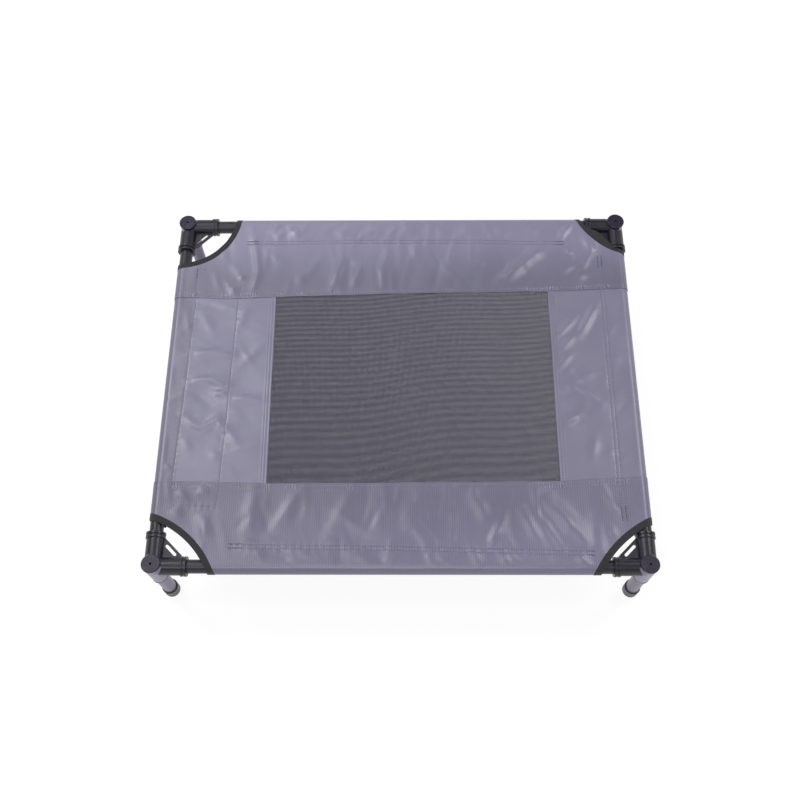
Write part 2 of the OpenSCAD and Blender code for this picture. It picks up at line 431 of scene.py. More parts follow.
@dataclass(frozen=True)
class MouldedPlastic(Finish):
    """Injection-moulded plastic with a fine grain, soft edges and a few rubbed places.

    The socket colour is painted reflection of the white floor on the upright socket around each
    leg's axis, below the arms and on its outer side. The dimple on that axis is painted dark as
    painted shade in the recess, and made dull.
    """

    grain: float = 1100.0
    rub_scales: Colour = (70.0, 70.0, 175.0)
    dust_scale: float = 26.0
    roughness: float = 0.33
    edge: float = 0.7
    painted_socket_reflection: Colour | None = None
    stem_at: Run = (440.0, 360.0)
    painted_reflection_radius: float = 19.0
    painted_reflection_top: float = 160.0
    painted_shade_radius: float = 0.0
    painted_pit_shade: Colour = (0.003, 0.003, 0.004)

    def near_axis(self, g: Graph, gaps: list[Sock], radius: float, soft: float) -> Sock:
        """One within a radius of a leg's axis, which falls to zero over a soft rim.

        Args:
            g: the material's node tree.
            gaps: how far outside the nearest leg's axis the point is in x and y.
            radius: the radius in millimetres.
            soft: the rim's width in millimetres.

        Returns:
            A mask from 0 to 1.
        """
        flat = g.node("ShaderNodeCombineXYZ", {}, dict(enumerate(gaps)))
        away = g.node("ShaderNodeVectorMath", {"operation": "LENGTH"}, {0: flat}, "Value")
        return 1.0 - g.ramp(away, radius * MM, (radius + soft) * MM)

    def in_painted_reflection(self, g: Graph, height: Sock, gaps: list[Sock]) -> Sock:
        """One on the upright socket below the arms and on its outer side, and zero elsewhere.

        It marks where the socket is given its painted reflection of the white floor.

        Args:
            g: the material's node tree.
            height: the height of the point.
            gaps: how far outside the nearest leg's axis the point is in x and y.

        Returns:
            A mask from 0 to 1.
        """
        below = 1.0 - g.ramp(height, (self.painted_reflection_top - 4.0) * MM, self.painted_reflection_top * MM)
        outer = g.ramp(gaps[0].maximum(gaps[1]), 4.0 * MM, 8.0 * MM)
        return self.near_axis(g, gaps, self.painted_reflection_radius, 1.5) * below.maximum(outer)

    def shade(self, g: Graph) -> Sock:
        """Grain in the bump, rubbing and dust in the colour and the gloss.

        Args:
            g: the material's node tree.

        Returns:
            The surface shader.
        """
        place = g.place()
        grain = g.noise(place, self.grain, 2.0) - 0.5
        rub = g.ramp(g.streaks(place, self.rub_scales, 5.0), 0.52, 0.78)
        dust = g.noise(place, self.dust_scale, 3.0)
        base = g.blend(dust * 0.6 + rub * 0.4, *self.toned(0.8, 1.35))
        rough = rub * 0.12 + grain * 0.10 + self.roughness
        split = g.part(place, "X")
        sides = (split, split.sibling("Y"))
        gaps = [abs(side) - at * MM for side, at in zip(sides, self.stem_at)]
        # The socket's lighter colour is painted reflection of the white floor on the dark plastic
        if self.painted_socket_reflection:
            base = g.blend(self.in_painted_reflection(g, split.sibling("Z"), gaps), base, self.painted_socket_reflection)
        # The dimple is painted near-black as painted shade in the recess, and made dull
        if self.painted_shade_radius:
            in_painted_shade = self.near_axis(g, gaps, self.painted_shade_radius, 0.3)
            base, rough = g.blend(in_painted_shade, base, self.painted_pit_shade), rough + in_painted_shade * 0.6
        return g.principled(base, rough, g.bump(grain, 0.03, 0.5, g.rounded(self.edge)))


@dataclass(frozen=True)
class PowderCoat(Finish):
    """Powder coat on tube, with its slight orange peel."""

    peel: float = 420.0
    scuff_scale: float = 160.0
    roughness: float = 0.36

    def shade(self, g: Graph) -> Sock:
        """Orange peel in the bump and fine scuffs in the gloss.

        Args:
            g: the material's node tree.

        Returns:
            The surface shader.
        """
        place = g.place()
        peel = g.noise(place, self.peel, 1.0) - 0.5
        scuff = g.ramp(g.noise(place, self.scuff_scale, 6.0), 0.55, 0.75)
        rough = scuff * 0.14 + peel * 0.06 + self.roughness
        return g.principled(g.blend(scuff, *self.toned(0.9, 1.3)), rough, g.bump(peel, 0.04, 0.5))


@dataclass(frozen=True)
class FootRubber(Finish):
    """Soft grey-black plastic of the foot caps, scuffed where they meet the ground."""

    grain: float = 850.0
    scuff_scale: float = 120.0
    scuff_run: Run = (1.0, 9.0)
    edge: float = 0.8

    def shade(self, g: Graph) -> Sock:
        """Scuffs gather on the lowest millimetres and fade upwards.

        Args:
            g: the material's node tree.

        Returns:
            The surface shader.
        """
        place = g.place()
        low, high = self.scuff_run
        raised = g.ramp(g.part(place, "Z"), low * MM, high * MM)
        grain = g.noise(place, self.grain, 2.0) - 0.5
        scuff = g.noise(place, self.scuff_scale, 5.0) * (1.0 - raised)
        return g.principled(
            g.blend(scuff * 0.8 + grain * 0.2 + 0.1, *self.toned(0.8, 2.0)),
            scuff * 0.2 + grain * 0.1 + 0.42,
            g.bump(grain, 0.15, 0.8, g.rounded(self.edge)),
        )


@dataclass(frozen=True)
class StudioWhite(Finish):
    """White of the floor, which glows to what looks at it and takes a faint shadow."""

    glow: float = 0.88
    spill_colour: Colour = (0.75, 0.75, 0.75)
    spill: float = 0.2

    def paint(self, g: Graph, colour: Colour, strength: float) -> Sock:
        """A dull paint of that colour with a white glow of that strength.

        Args:
            g: the material's node tree.
            colour: the paint's colour.
            strength: the glow's strength.

        Returns:
            The shader.
        """
        coat = g.node("ShaderNodeBsdfDiffuse", {}, {"Color": (*colour, 1.0)})
        glow = g.node("ShaderNodeEmission", {}, {"Strength": strength})
        return g.node("ShaderNodeAddShader", {}, {0: coat, 1: glow})

    def shade(self, g: Graph) -> Sock:
        """One paint for what looks at the floor, and another for the light that it throws back.

        Args:
            g: the material's node tree.

        Returns:
            The surface shader.
        """
        shown = self.paint(g, self.colour, self.glow)
        thrown = self.paint(g, self.spill_colour, self.spill)
        path = g.node("ShaderNodeLightPath", {}, {}, "Is Camera Ray")
        bounced = path.sibling("Is Glossy Ray").maximum(path.sibling("Is Transmission Ray"))
        return g.node("ShaderNodeMixShader", {}, {0: path.maximum(bounced), 1: thrown, 2: shown})


def grid_faces(rows: int, columns: int, flip: bool = False) -> Array:
    """Quads of a grid of points that is stored row by row.

    Args:
        rows: points in the first direction.
        columns: points in the second direction.
        flip: turns the faces over.

    Returns:
        An array of four point numbers a face, shaped (rows - 1, columns - 1, 4).
    """
    index = np.arange(rows * columns).reshape(rows, columns)
    quads = np.stack([index[:-1, :-1], index[1:, :-1], index[1:, 1:], index[:-1, 1:]], -1)
    return quads[..., ::-1] if flip else quads


def mesh_object(
    name: str,
    points: Array,
    faces: Array,
    material: bpy.types.Material,
    uv: Array | None = None,
    tone: Array | None = None,
) -> bpy.types.Object:
    """Makes a smooth mesh object at the origin.

    Args:
        name: the piece's name.
        points: its points in millimetres, shaped (..., 3).
        faces: four point numbers a face.
        material: its finish.
        uv: a flat place in millimetres for each point.
        tone: a number for each point, kept as an attribute.

    Returns:
        The new object, linked to the scene.
    """
    used, compact = np.unique(faces.reshape(-1, 4), return_inverse=True)
    faces = compact.reshape(-1, 4)
    mesh = bpy.data.meshes.new(name)
    mesh.from_pydata((points.reshape(-1, 3)[used] * MM).tolist(), [], faces.tolist())
    mesh.polygons.foreach_set("use_smooth", np.ones(len(faces), bool))
    mesh.materials.append(material)
    if uv is not None:
        layer = mesh.uv_layers.new(name=UV_NAME)
        corners = uv.reshape(-1, 2)[used][faces.ravel()]
        layer.data.foreach_set("uv", (corners * MM).astype(np.float32).ravel())
    if tone is not None:
        kept = mesh.attributes.new(TONE_NAME, "FLOAT", "POINT")
        kept.data.foreach_set("value", tone[used].astype(np.float32))
    mesh.update()
    made = bpy.data.objects.new(name, mesh)
    bpy.context.scene.collection.objects.link(made)
    return made


def thickened(piece: bpy.types.Object, wall: float) -> None:
    """Gives an open sheet a wall of that many millimetres behind its faces.

    Args:
        piece: the open sheet.
        wall: the wall in millimetres.
    """
    wall_maker = piece.modifiers.new("wall", "SOLIDIFY")
    wall_maker.thickness = wall * MM
    wall_maker.offset = -1.0


def smooth_step(low: float, high: float, value: Array) -> Array:
    """A cubic step from 0 at low to 1 at high."""
    share = np.clip((value - low) / (high - low), 0.0, 1.0)
    return share * share * (3.0 - 2.0 * share)


def spaced(start: float, stop: float, step: float) -> Array:
    """Evenly spaced values from start towards stop, without stop itself."""
    count = max(1, round(abs(stop - start) / step))
    return np.linspace(start, stop, count, endpoint=False)


def beside(line: Line, x: Array, y: Array) -> tuple[Array, Array, float]:
    """How points lie to a line of straight pieces.

    Each point is dropped on to every piece and keeps its nearest foot.

    Args:
        line: the line's corners.
        x: the points' first coordinates.
        y: the points' second coordinates.

    Returns:
        The length along the line to each foot, the distance to it, and the line's length.
    """
    nearest = np.full(np.shape(x), np.inf)
    along = np.zeros(np.shape(x))
    done = 0.0
    for (x0, y0), (x1, y1) in zip(line, line[1:]):
        length = math.hypot(x1 - x0, y1 - y0)
        tx, ty = (x1 - x0) / length, (y1 - y0) / length
        foot = np.clip((x - x0) * tx + (y - y0) * ty, 0.0, length)
        gap = np.hypot(x - x0 - foot * tx, y - y0 - foot * ty)
        closer = gap < nearest
        along = np.where(closer, done + foot, along)
        nearest = np.where(closer, gap, nearest)
        done += length
    return along, nearest, done


def shortened(line: Line, length: float) -> Line:
    """The first length of a line.

    Args:
        line: a line whose first piece is long enough.
        length: the length to keep.

    Returns:
        The kept part.
    """
    (x0, y0), (x1, y1) = line[0], line[1]
    share = length / math.hypot(x1 - x0, y1 - y0)
    return ((x0, y0), (x0 + (x1 - x0) * share, y0 + (y1 - y0) * share))


def line_of(*numbers: float) -> Line:
    """A line from x and y of each of its corners in turn."""
    return tuple(zip(numbers[::2], numbers[1::2]))


def lengths_along(points: Array) -> Array:
    """The length of a line of points up to each of them."""
    return np.concatenate([[0.0], np.cumsum(np.linalg.norm(np.diff(points, axis=0), axis=1))])


@dataclass(frozen=True)
class Crease:
    """A soft ridge in the cloth, or with a negative height a valley."""

    line: Line
    height: float
    width: float
    ends: Run = (0.06, 0.94)
    fullness: float = 0.7
    spread: float = 1.35

    def lift(self, x: Array, y: Array) -> Array:
        """A bell across the line, which swells and fades as a half sine along it.

        Args:
            x: x of the places in plan.
            y: y of the places in plan.

        Returns:
            The lift in millimetres.
        """
        along, gap, length = beside(self.line, x, y)
        swell = np.sin(math.pi * np.clip(along / length, *self.ends)) ** self.fullness
        return self.height * swell * np.exp(-((gap / (self.spread * self.width)) ** 2))


def creases(*rows: tuple[float, ...]) -> tuple[Crease, ...]:
    """Creases from rows of a height, a width, and x and y of each corner of the line."""
    return tuple(Crease(line_of(*place), height, width) for height, width, *place in rows)


# Each panel's main creases as the photograph shows them
FRONT_CREASES = creases(
    (1.8, 9.8, -268, -220, -273, -315),
    (1.5, 8.5, -183, -223, -232, -308),
    (1.6, 10.4, -86, -219, -125, -311),
    (1.4, 11.7, -32, -225, -39, -322),
    (1.1, 6.5, -407, -219, -384, -246),
    (1.1, 7.8, -374, -221, -346, -230),
    (1.4, 9.1, -364, -262, -341, -321),
    (0.8, 6.5, -413, -254, -396, -278),
    (0.8, 7.8, -281, -336, -232, -352),
    (0.7, 6.5, -181, -334, -159, -348),
    (3.0, 11.7, 254, -224, 345, -333),
    (1.8, 7.8, 219, -252, 251, -322),
    (1.6, 5.9, 249, -264, 289, -332),
    (1.6, 8.5, 133, -226, 159, -279),
    (1.8, 6.5, 176, -285, 163, -325),
    (1.1, 10.4, 21, -240, 9, -303),
    (1.0, 5.2, 375, -288, 385, -310),
    (0.8, 9.1, 358, -209, 372, -258),
    (1.2, 5.2, 180, -341, 194, -355),
    (1.2, 5.2, 309, -343, 328, -356),
    (0.9, 6.5, 64, -335, 86, -354),
    (0.9, 6.5, -86, -333, -66, -352),
)
BACK_CREASES = creases(
    (2.0, 5.6, -307, 349, -293, 282, -288, 242, -297, 198),
    (1.1, 7.5, -272, 299, -246, 273),
    (2.0, 6.2, -123, 300, -119, 275, -138, 204),
    (2.0, 6.2, -29, 289, -38, 249, -34, 199),
    (1.4, 6.2, -84, 258, -95, 208),
    (1.2, 6.2, -338, 216, -334, 192),
    (1.0, 5.0, -324, 241, -318, 226),
    (1.0, 7.5, -205, 251, -200, 212),
    (3.6, 10.0, 296, 308, 196, 216),
    (2.0, 5.0, 349, 358, 321, 317),
    (2.4, 6.2, 370, 332, 391, 287),
    (1.4, 4.4, 338, 298, 344, 282),
    (1.5, 7.5, 374, 239, 343, 225),
    (1.2, 8.5, -224, 351, -204, 324),
    (1.2, 8.5, -131, 351, -113, 324),
    (1.2, 8.5, -58, 352, -38, 325),
    (1.2, 8.5, 7, 354, 29, 327),
    (1.2, 8.5, 70, 350, 88, 322),
    (1.2, 8.5, 133, 350, 154, 325),
    (1.2, 8.5, 196, 350, 213, 321),
    (1.2, 8.5, 262, 351, 281, 324),
)
LEFT_CREASES = creases(
    (2.0, 6.5, -407, 60, -326, 64),
    (2.0, 6.5, -406, -4, -390, 3, -365, 4, -331, -7),
    (1.4, 4.8, -358, -24, -329, -26),
    (1.5, 5.5, -412, -69, -390, -90, -372, -97, -346, -79, -331, -100),
    (2.0, 6.3, -325, -36, -260, -35),
    (0.7, 7.0, -303, 174, -320, 112),
    (0.7, 7.0, -262, 90, -314, 30),
    (0.7, 6.0, -326, -99, -300, -133),
    (-0.6, 6.0, -391, -28, -364, -46),
    (0.6, 7.0, -392, 153, -367, 102),
    (0.5, 6.0, -406, -116, -392, -146),
    (0.6, 6.0, -353, -144, -335, -164),
    (0.6, 5.0, -424, 153, -413, 102),
    (0.5, 4.0, -436, -169, -423, -184),
)
RIGHT_CREASES = creases(
    (2.4, 6.5, 386, 168, 348, 97),
    (1.4, 5.4, 347, 142, 299, 92),
    (1.4, 5.4, 342, 103, 307, 64),
    (1.4, 5.4, 331, 59, 300, 26),
    (1.4, 5.4, 324, 18, 337, -8, 381, -46),
    (1.7, 5.4, 337, -70, 296, -93),
    (0.7, 5.4, 294, -8, 323, -10),
    (1.0, 6.5, 365, -116, 353, -161),
)


@dataclass(frozen=True)
class SmallCreases:
    """A field of the cover with many slight creases, drawn from a seed, that mostly run one way."""

    low: Run
    high: Run
    turn: float
    count: int
    seed: int
    spread: float = 0.4
    height: float = 0.75
    reach: Run = (16.0, 52.0)
    least_height: float = 0.15
    valley_share: float = 0.25
    widths: Run = (4.0, 8.0)

    def creases(self) -> tuple[Crease, ...]:
        """Draws the creases, whose halves are as long as the reach allows.

        Returns:
            The creases, always the same ones.
        """
        draw = np.random.default_rng(self.seed)
        middle = draw.uniform(self.low, self.high, (self.count, 2))
        turn = self.turn + draw.normal(0.0, self.spread, self.count)
        length = draw.uniform(*self.reach, self.count)
        half = length[:, None] * np.stack([np.cos(turn), np.sin(turn)], -1)
        height = draw.uniform(self.least_height, self.height, self.count)
        height *= np.where(draw.random(self.count) < self.valley_share, -1.0, 1.0)
        width = draw.uniform(*self.widths, self.count)
        return tuple(
            Crease((tuple(start), tuple(end)), float(h), float(w))
            for start, end, h, w in zip(middle - half, middle + half, height, width)
        )


# The slight creases of the bands, of the strips past their seams, and of the side panels
SMALL_CREASES = (
    SmallCreases((-425, -345), (425, -215), 0.5 * math.pi, 70, 3, height=1.1),
    SmallCreases((-60, -340), (250, -215), 0.5 * math.pi, 20, 7, height=1.5),
    SmallCreases((-425, 195), (425, 345), 0.5 * math.pi, 70, 4, height=1.3),
    SmallCreases((-60, 200), (300, 345), 0.5 * math.pi, 30, 8, height=1.5),
    SmallCreases((130, -351), (400, -336), -0.9, 30, 9, 0.25, 1.1, (8.0, 16.0)),
    SmallCreases((-320, -351), (130, -336), -1.2, 26, 10, 0.3, 0.9, (8.0, 16.0)),
    SmallCreases((-300, 326), (340, 352), 1.0, 44, 11, 0.3, 1.3, (9.0, 18.0)),
    SmallCreases((-432, -195), (-255, 180), 0.0, 46, 5, 0.8, 0.6),
    SmallCreases((300, -195), (432, 190), 0.8, 40, 6, 0.5, 0.8, (12.0, 30.0)),
)


@dataclass(frozen=True)
class Seam:
    """A sewn line on the cover, which draws the cloth in along itself.

    The rows are the threads' distances from the line, and the tacks are the lengths of the dense
    runs of dark stitches at its two ends.
    """

    line: Line
    rows: tuple[float, ...] = (0.0,)
    tacks: Run = (0.0, 0.0)
    groove: float = 0.3
    groove_width: float = 1.5
    pucker: float = 0.2
    pucker_reach: float = 8.0
    wave: float = 12.5
    wander: float = 1.7
    wander_run: float = 41.0

    def lift(self, x: Array, y: Array) -> Array:
        """A narrow groove on each row, and short waves along the line that fade away from it.

        Args:
            x: x of the places in plan.
            y: y of the places in plan.

        Returns:
            The lift in millimetres.
        """
        along, gap, length = beside(self.line, x, y)
        inside = smooth_step(-1.0, 3.0, np.minimum(along, length - along))
        offsets = {abs(row) for row in self.rows}
        dip = sum(np.exp(-(((gap - offset) / self.groove_width) ** 2)) for offset in offsets)
        phase = along / self.wave * TURN + self.wander * np.sin(along / self.wander_run)
        waves = np.sin(phase) * np.exp(-((gap / self.pucker_reach) ** 2))
        return inside * (self.pucker * waves - self.groove * dip)


SEAMS = {
    "front": Seam(((-307, -326), (0, -329.5), (345, -339)), (-3.7, 3.7), (26.0, 14.0)),
    "back": Seam(((-314, 313), (-100, 315.5), (100, 315.5), (331, 312)), (-3.3, 3.3), (24.0, 16.0)),
    "right": Seam(((401, 196), (401, -196)), (-3.7, 3.7)),
    "left": Seam(((-408.5, 184), (-412.6, -28), (-419, -204))),
    "left_mid": Seam(((-324, 184), (-328, -34), (-332, -208))),
    "left_at_back": Seam(((-411.7, 252), (-408.5, 186)), tacks=(24.0, 0.0)),
    "left_end_at_back": Seam(((-411.7, 252), (-384, 250)), groove=0.12),
    "mid_at_back": Seam(((-318, 236), (-324, 186)), groove=0.12),
    "right_at_back": Seam(((401, 280), (401, 200)), (-3.7, 3.7), (26.0, 0.0)),
    "mid_at_front": Seam(((-332, -208), (-336, -252)), groove=0.12),
    "end_at_front": Seam(((-336, -252), (-392, -250)), groove=0.12),
    "right_at_front": Seam(((401, -198), (404, -278)), (-3.7, 3.7), (0.0, 26.0)),
}


@dataclass(frozen=True)
class Relief:
    """The unevenness of the stretched cover: creases, drawn seams, slow waves and its sag."""

    rails: Rails
    creases: tuple[Crease, ...] = FRONT_CREASES + BACK_CREASES + LEFT_CREASES + RIGHT_CREASES
    small: tuple[SmallCreases, ...] = SMALL_CREASES
    seams: tuple[Seam, ...] = tuple(SEAMS.values())
    scale: float = 1.7
    sag: float = 3.0
    sag_run: float = 100.0
    waves: int = 14
    wave_lengths: Run = (55.0, 190.0)
    wave_slope: float = 0.0011
    held_run: Run = (1.0, 9.0)
    seed: int = 11

    def slow(self, x: Array, y: Array) -> Array:
        """Plane waves in seeded directions, which add up to a few tenths of a millimetre.

        Args:
            x: x of the places in plan.
            y: y of the places in plan.

        Returns:
            The lift in millimetres.
        """
        draw = np.random.default_rng(self.seed)
        total = np.zeros(np.shape(x))
        for _ in range(self.waves):
            length = draw.uniform(*self.wave_lengths)
            turn, phase = draw.uniform(0.0, TURN), draw.uniform(0.0, TURN)
            run = x * math.cos(turn) + y * math.sin(turn)
            total += self.wave_slope * length * np.sin(run * (TURN / length) + phase)
        return total

    def hang(self, *from_rails: Array | float) -> Array:
        """How far the cloth hangs below the rails' tops, at its distances from the rails."""
        still_falls = (1.0 - np.clip(distance / self.sag_run, 0.0, 1.0) for distance in from_rails)
        return self.sag * math.prod(1.0 - fall**2 for fall in still_falls)

    def height(self, x: Array, y: Array) -> Array:
        """The lift of the cloth in millimetres at a place in plan, which is never into a rail.

        Args:
            x: x of the places in plan.
            y: y of the places in plan.

        Returns:
            The height above the rails' tops.
        """
        folds = sum(crease.lift(x, y) for crease in self.creases)
        slight = sum(crease.lift(x, y) for area in self.small for crease in area.creases())
        drawn = sum(seam.lift(x, y) for seam in self.seams)
        total = self.scale * folds + slight + self.slow(x, y) + drawn
        inside = self.rails.half_x - np.abs(x), self.rails.half_y - np.abs(y)
        held = 1.0 - smooth_step(*self.held_run, np.minimum(*inside))
        return total - np.minimum(total, 0.0) * held - self.hang(*inside)


class Side(Enum):
    """The side of the cot that a panel hangs on, with its rail's direction from the centre."""

    FRONT = "front"
    BACK = "back"
    LEFT = "left"
    RIGHT = "right"

    @property
    def is_band(self) -> bool:
        """True for the two bands that run across the whole width."""
        return self in (Side.FRONT, Side.BACK)

    @property
    def sign(self) -> float:
        """The direction of the side's rail on its own axis."""
        return 1.0 if self in (Side.BACK, Side.RIGHT) else -1.0

    @property
    def flips(self) -> bool:
        """True where along and across make a left-handed pair in plan."""
        return self in (Side.FRONT, Side.RIGHT)

    def plan(self, along: Array, across: Array) -> tuple[Array, Array]:
        """The cot's x and y of a place along and across the side's rail.

        Args:
            along: the place along the side's rail.
            across: the place outwards from the centre.

        Returns:
            The x and the y.
        """
        if self.is_band:
            return along, self.sign * across
        return self.sign * across, along

    def local(self, x: Array, y: Array) -> tuple[Array, Array]:
        """The place along and across the side's rail of the cot's x and y.

        Args:
            x: x of the places in plan.
            y: y of the places in plan.

        Returns:
            The place along the side's rail, and outwards from the centre.
        """
        if self.is_band:
            return x, self.sign * y
        return y, self.sign * x


@dataclass(frozen=True)
class Sleeve:
    """The section of cloth that turns round a rail and comes back to its seam.

    A length d of cloth past the rail's top lies flat for d < 0, on a circle up to the angle
    `turn`, and then on the circle's tangent, which ends under the top layer at the seam.
    """

    radius: float
    seam: float
    drop: float

    @property
    def turn(self) -> float:
        """The angle that the cloth goes round the rail, at which the tangent meets the seam.

        Returns:
            The angle in radians.
        """
        rise = self.radius - self.drop
        to_tangent = math.acos(self.radius / math.hypot(self.seam, rise))
        return TURN + math.atan2(-self.seam, rise) - to_tangent

    @property
    def arc(self) -> float:
        """The length of cloth on the circle."""
        return self.radius * self.turn

    @property
    def flap(self) -> float:
        """The length of cloth on the tangent."""
        return math.sqrt(self.seam**2 + (self.radius - self.drop) ** 2 - self.radius**2)

    def at(self, d: Array) -> tuple[Array, Array, Array, Array]:
        """Where the cloth is, in the rail's section.

        Args:
            d: lengths of cloth past the rail's top.

        Returns:
            The place out from and up from the rail's axis, and the cloth's normal out and up.
        """
        angle = np.clip(d / self.radius, 0.0, self.turn)
        flap = np.maximum(d - self.arc, 0.0)
        out = self.radius * np.sin(angle) + np.minimum(d, 0.0) + flap * math.cos(self.turn)
        up = self.radius * np.cos(angle) - flap * math.sin(self.turn)
        return out, up, np.sin(angle), np.cos(angle)

    def grown(self, more: float) -> Sleeve:
        """The same sleeve with its circle larger and its seam in place."""
        return Sleeve(self.radius + more, self.seam, self.drop + more)


@dataclass(frozen=True)
class Rails:
    """Where the rails' axes are: half the spans between them, and their height."""

    half_x: float
    half_y: float
    height: float

    @classmethod
    def from_frame(cls) -> Rails:
        """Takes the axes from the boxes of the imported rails."""
        right, back = (np.array(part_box(name)).mean(0) / MM for name in ("rail_right", "rail_back"))
        return cls(float(right[0]), float(back[1]), float(back[2]))


@dataclass(frozen=True)
class CornerCut:
    """The round cut-out at a corner: its circle, in the band's along and across directions."""

    sign: float
    along: float
    across: float
    radius: float
    tape: float
    swell: float = 0.0

    @classmethod
    def at(cls, sign: float, rails: Rails, shape: tuple[float, ...]) -> CornerCut:
        """Places a cut.

        Args:
            sign: the end of the band that it is on.
            rails: the rails' axes.
            shape: how far its centre is outside the side and end rails, its radius, its tape's
                width, and how much wider the tape is halfway round.

        Returns:
            The cut.
        """
        beyond_side, beyond_end, *rest = shape
        return cls(sign, sign * (rails.half_x + beyond_side), rails.half_y + beyond_end, *rest)


@dataclass
class CoverPanel:
    """One sewn panel of the cover, from its hem by the mesh over its rail to the sleeve's seam."""

    side: Side
    rails: Rails
    relief: Relief
    sleeve: Sleeve
    edge: Line
    knots: tuple[Line, ...]
    finish: Finish
    hem: float = 14.0
    wall: float = 0.8
    hem_rise: float = 0.18
    hem_rows: tuple[float, ...] = (6.0,)
    hem_groove: float = 0.12
    ends: tuple[Sleeve, Sleeve] | None = None
    cuts: tuple[CornerCut, ...] = ()
    cut_inset: float = 4.0
    reach: Run = (0.0, 0.0)
    flat: Run = (0.0, 0.0)
    area: float = 0.0
    fold_run: Run = (-0.5, 2.0)
    roll_width: float = 1.4
    groove_width: float = 1.3
    relief_reach: float = 10.0
    tuck_depth: float = 0.45
    tuck_run: Run = (4.0, 15.0)
    step: float = 2.75
    end_step: float = 2.4
    turn_step: float = 2.3
    flap_step: float = 4.5
    edge_steps: tuple[float, ...] = (0.5, 1.0, 1.2)
    seam_steps: Run = (2.75, 1.3)
    rail_step: float = 2.6
    seam_half: float = 6.5

    @property
    def name(self) -> str:
        """The panel's piece name."""
        return f"cover_{self.side.value}_cloth"

    @property
    def rail(self) -> float:
        """The distance of the panel's own rail from the cot's centre."""
        return self.rails.half_y if self.side.is_band else self.rails.half_x

    def line_at(self, line: Line, along: Array) -> Array:
        """Where a line in plan lies across the panel."""
        points = sorted(self.side.local(*p) for p in line)
        return np.interp(along, [p[0] for p in points], [p[1] for p in points])

    def edge_at(self, along: Array) -> Array:
        """Where the hem's edge is, across the panel."""
        return self.line_at(self.edge, along)

    def hem_lift(self, along: Array, across: Array) -> Array:
        """The doubled hem: a step at its fold, a rolled edge and a groove on each row of thread.

        Args:
            along: unrolled place along the panel's rail.
            across: unrolled place across it.

        Returns:
            The lift in millimetres.
        """
        inward = across - self.edge_at(along)
        fold = smooth_step(*(self.hem + past for past in self.fold_run), inward)
        rise = self.hem_rise * (1.0 - fold)
        roll = np.clip(1.0 - inward / self.roll_width, 0.0, 1.0)
        offsets = ((inward - row) / self.groove_width for row in self.hem_rows)
        grooves = sum(np.exp(-(offset**2)) for offset in offsets)
        return rise - self.hem_rise * roll**2 - self.hem_groove * grooves

    def place(self, along: Array, across: Array) -> tuple[Array, Array]:
        """Puts flat cloth on the cot.

        The cloth is flat between the rails and turns round each rail as its sleeve does, and
        the relief and the hem lift it along its normal.

        Args:
            along: unrolled place along the panel's rail.
            across: unrolled place across it.

        Returns:
            Points and unit normals, each shaped (..., 3).
        """
        out, up, normal_out, normal_up = self.sleeve.at(across - self.rail)
        beyond = np.maximum(across - self.rail, 0.0)
        plan_along, normal_along = np.array(along, float), np.zeros(np.shape(along))
        for sign, sleeve in zip((-1.0, 1.0), self.ends or ()):
            past = sign * along - self.rails.half_x
            e_out, e_up, e_normal_out, e_normal_up = sleeve.at(past)
            turned = past > 0.0
            plan_along = np.where(turned, sign * (self.rails.half_x + e_out), plan_along)
            normal_along = np.where(turned, sign * e_normal_out, normal_along)
            normal_out = np.where(turned, 0.0, normal_out)
            normal_up = np.where(turned, e_normal_up, normal_up)
            up = np.where(turned, e_up, up)
            beyond = np.maximum(beyond, past)
        plan_across = self.rail + out
        x, y = self.side.plan(plan_along, plan_across)
        tight = np.exp(-((beyond / self.relief_reach) ** 2))
        lift = self.relief.height(x, y) * tight + self.hem_lift(along, across)
        if not self.side.is_band:
            tucked = np.minimum(along - self.reach[0], self.reach[1] - along)
            lift = lift - self.tuck_depth * (1.0 - smooth_step(*self.tuck_run, tucked))
        x, y = self.side.plan(plan_along + normal_along * lift, plan_across + normal_out * lift)
        nx, ny = self.side.plan(normal_along, normal_out)
        z = self.rails.height + up + normal_up * lift
        return np.stack([x, y, z], -1), np.stack([nx, ny, normal_up], -1)

    def along_steps(self) -> Array:
        """The grid's places along the rail, with both end sleeves on a band.

        Returns:
            The places in rising order.
        """
        if self.ends is None:
            low, high = self.reach
            return np.append(spaced(low, high, self.step), high)
        half = self.rails.half_x
        before, after = ([s.arc, s.arc + s.flap] for s in self.ends)
        return np.concatenate(
            [
                -half - spaced(before[1], before[0], self.flap_step),
                -half - spaced(before[0], 0.0, self.end_step),
                spaced(-half, half, self.step),
                half + spaced(0.0, after[0], self.end_step),
                half + spaced(after[0], after[1], self.flap_step),
                [half + after[1]],
            ]
        )

    def across_steps(self, along: Array) -> Array:
        """The grid's places across the rail at each place along it.

        Rows follow the edge, the hem's end and each seam, and lie closer together near them.

        Args:
            along: the grid's places along the rail.

        Returns:
            The places across it, shaped (places along, rows).
        """
        edge = self.edge_at(along)
        lines = [edge, edge + 1.6, edge + self.hem - 2.0, edge + self.hem + 3.0]
        steps = [*self.edge_steps]
        for knot in self.knots:
            middle = self.line_at(knot, along)
            lines += [middle - self.seam_half, middle + self.seam_half]
            steps += self.seam_steps
        lines.append(np.full_like(along, self.rail))
        steps.append(self.rail_step)
        rows = []
        for low, high, step in zip(lines, lines[1:], steps):
            shares = spaced(0.0, 1.0, step / float(np.mean(high - low)))
            rows.append(low[:, None] * (1.0 - shares) + high[:, None] * shares)
        arc, end = self.sleeve.arc, self.sleeve.arc + self.sleeve.flap
        turned = np.concatenate(
            [spaced(0.0, arc, self.turn_step), spaced(arc, end, self.flap_step), [end]]
        )
        rows.append(np.broadcast_to(self.rail + turned, (len(along), len(turned))))
        return np.concatenate(rows, 1)

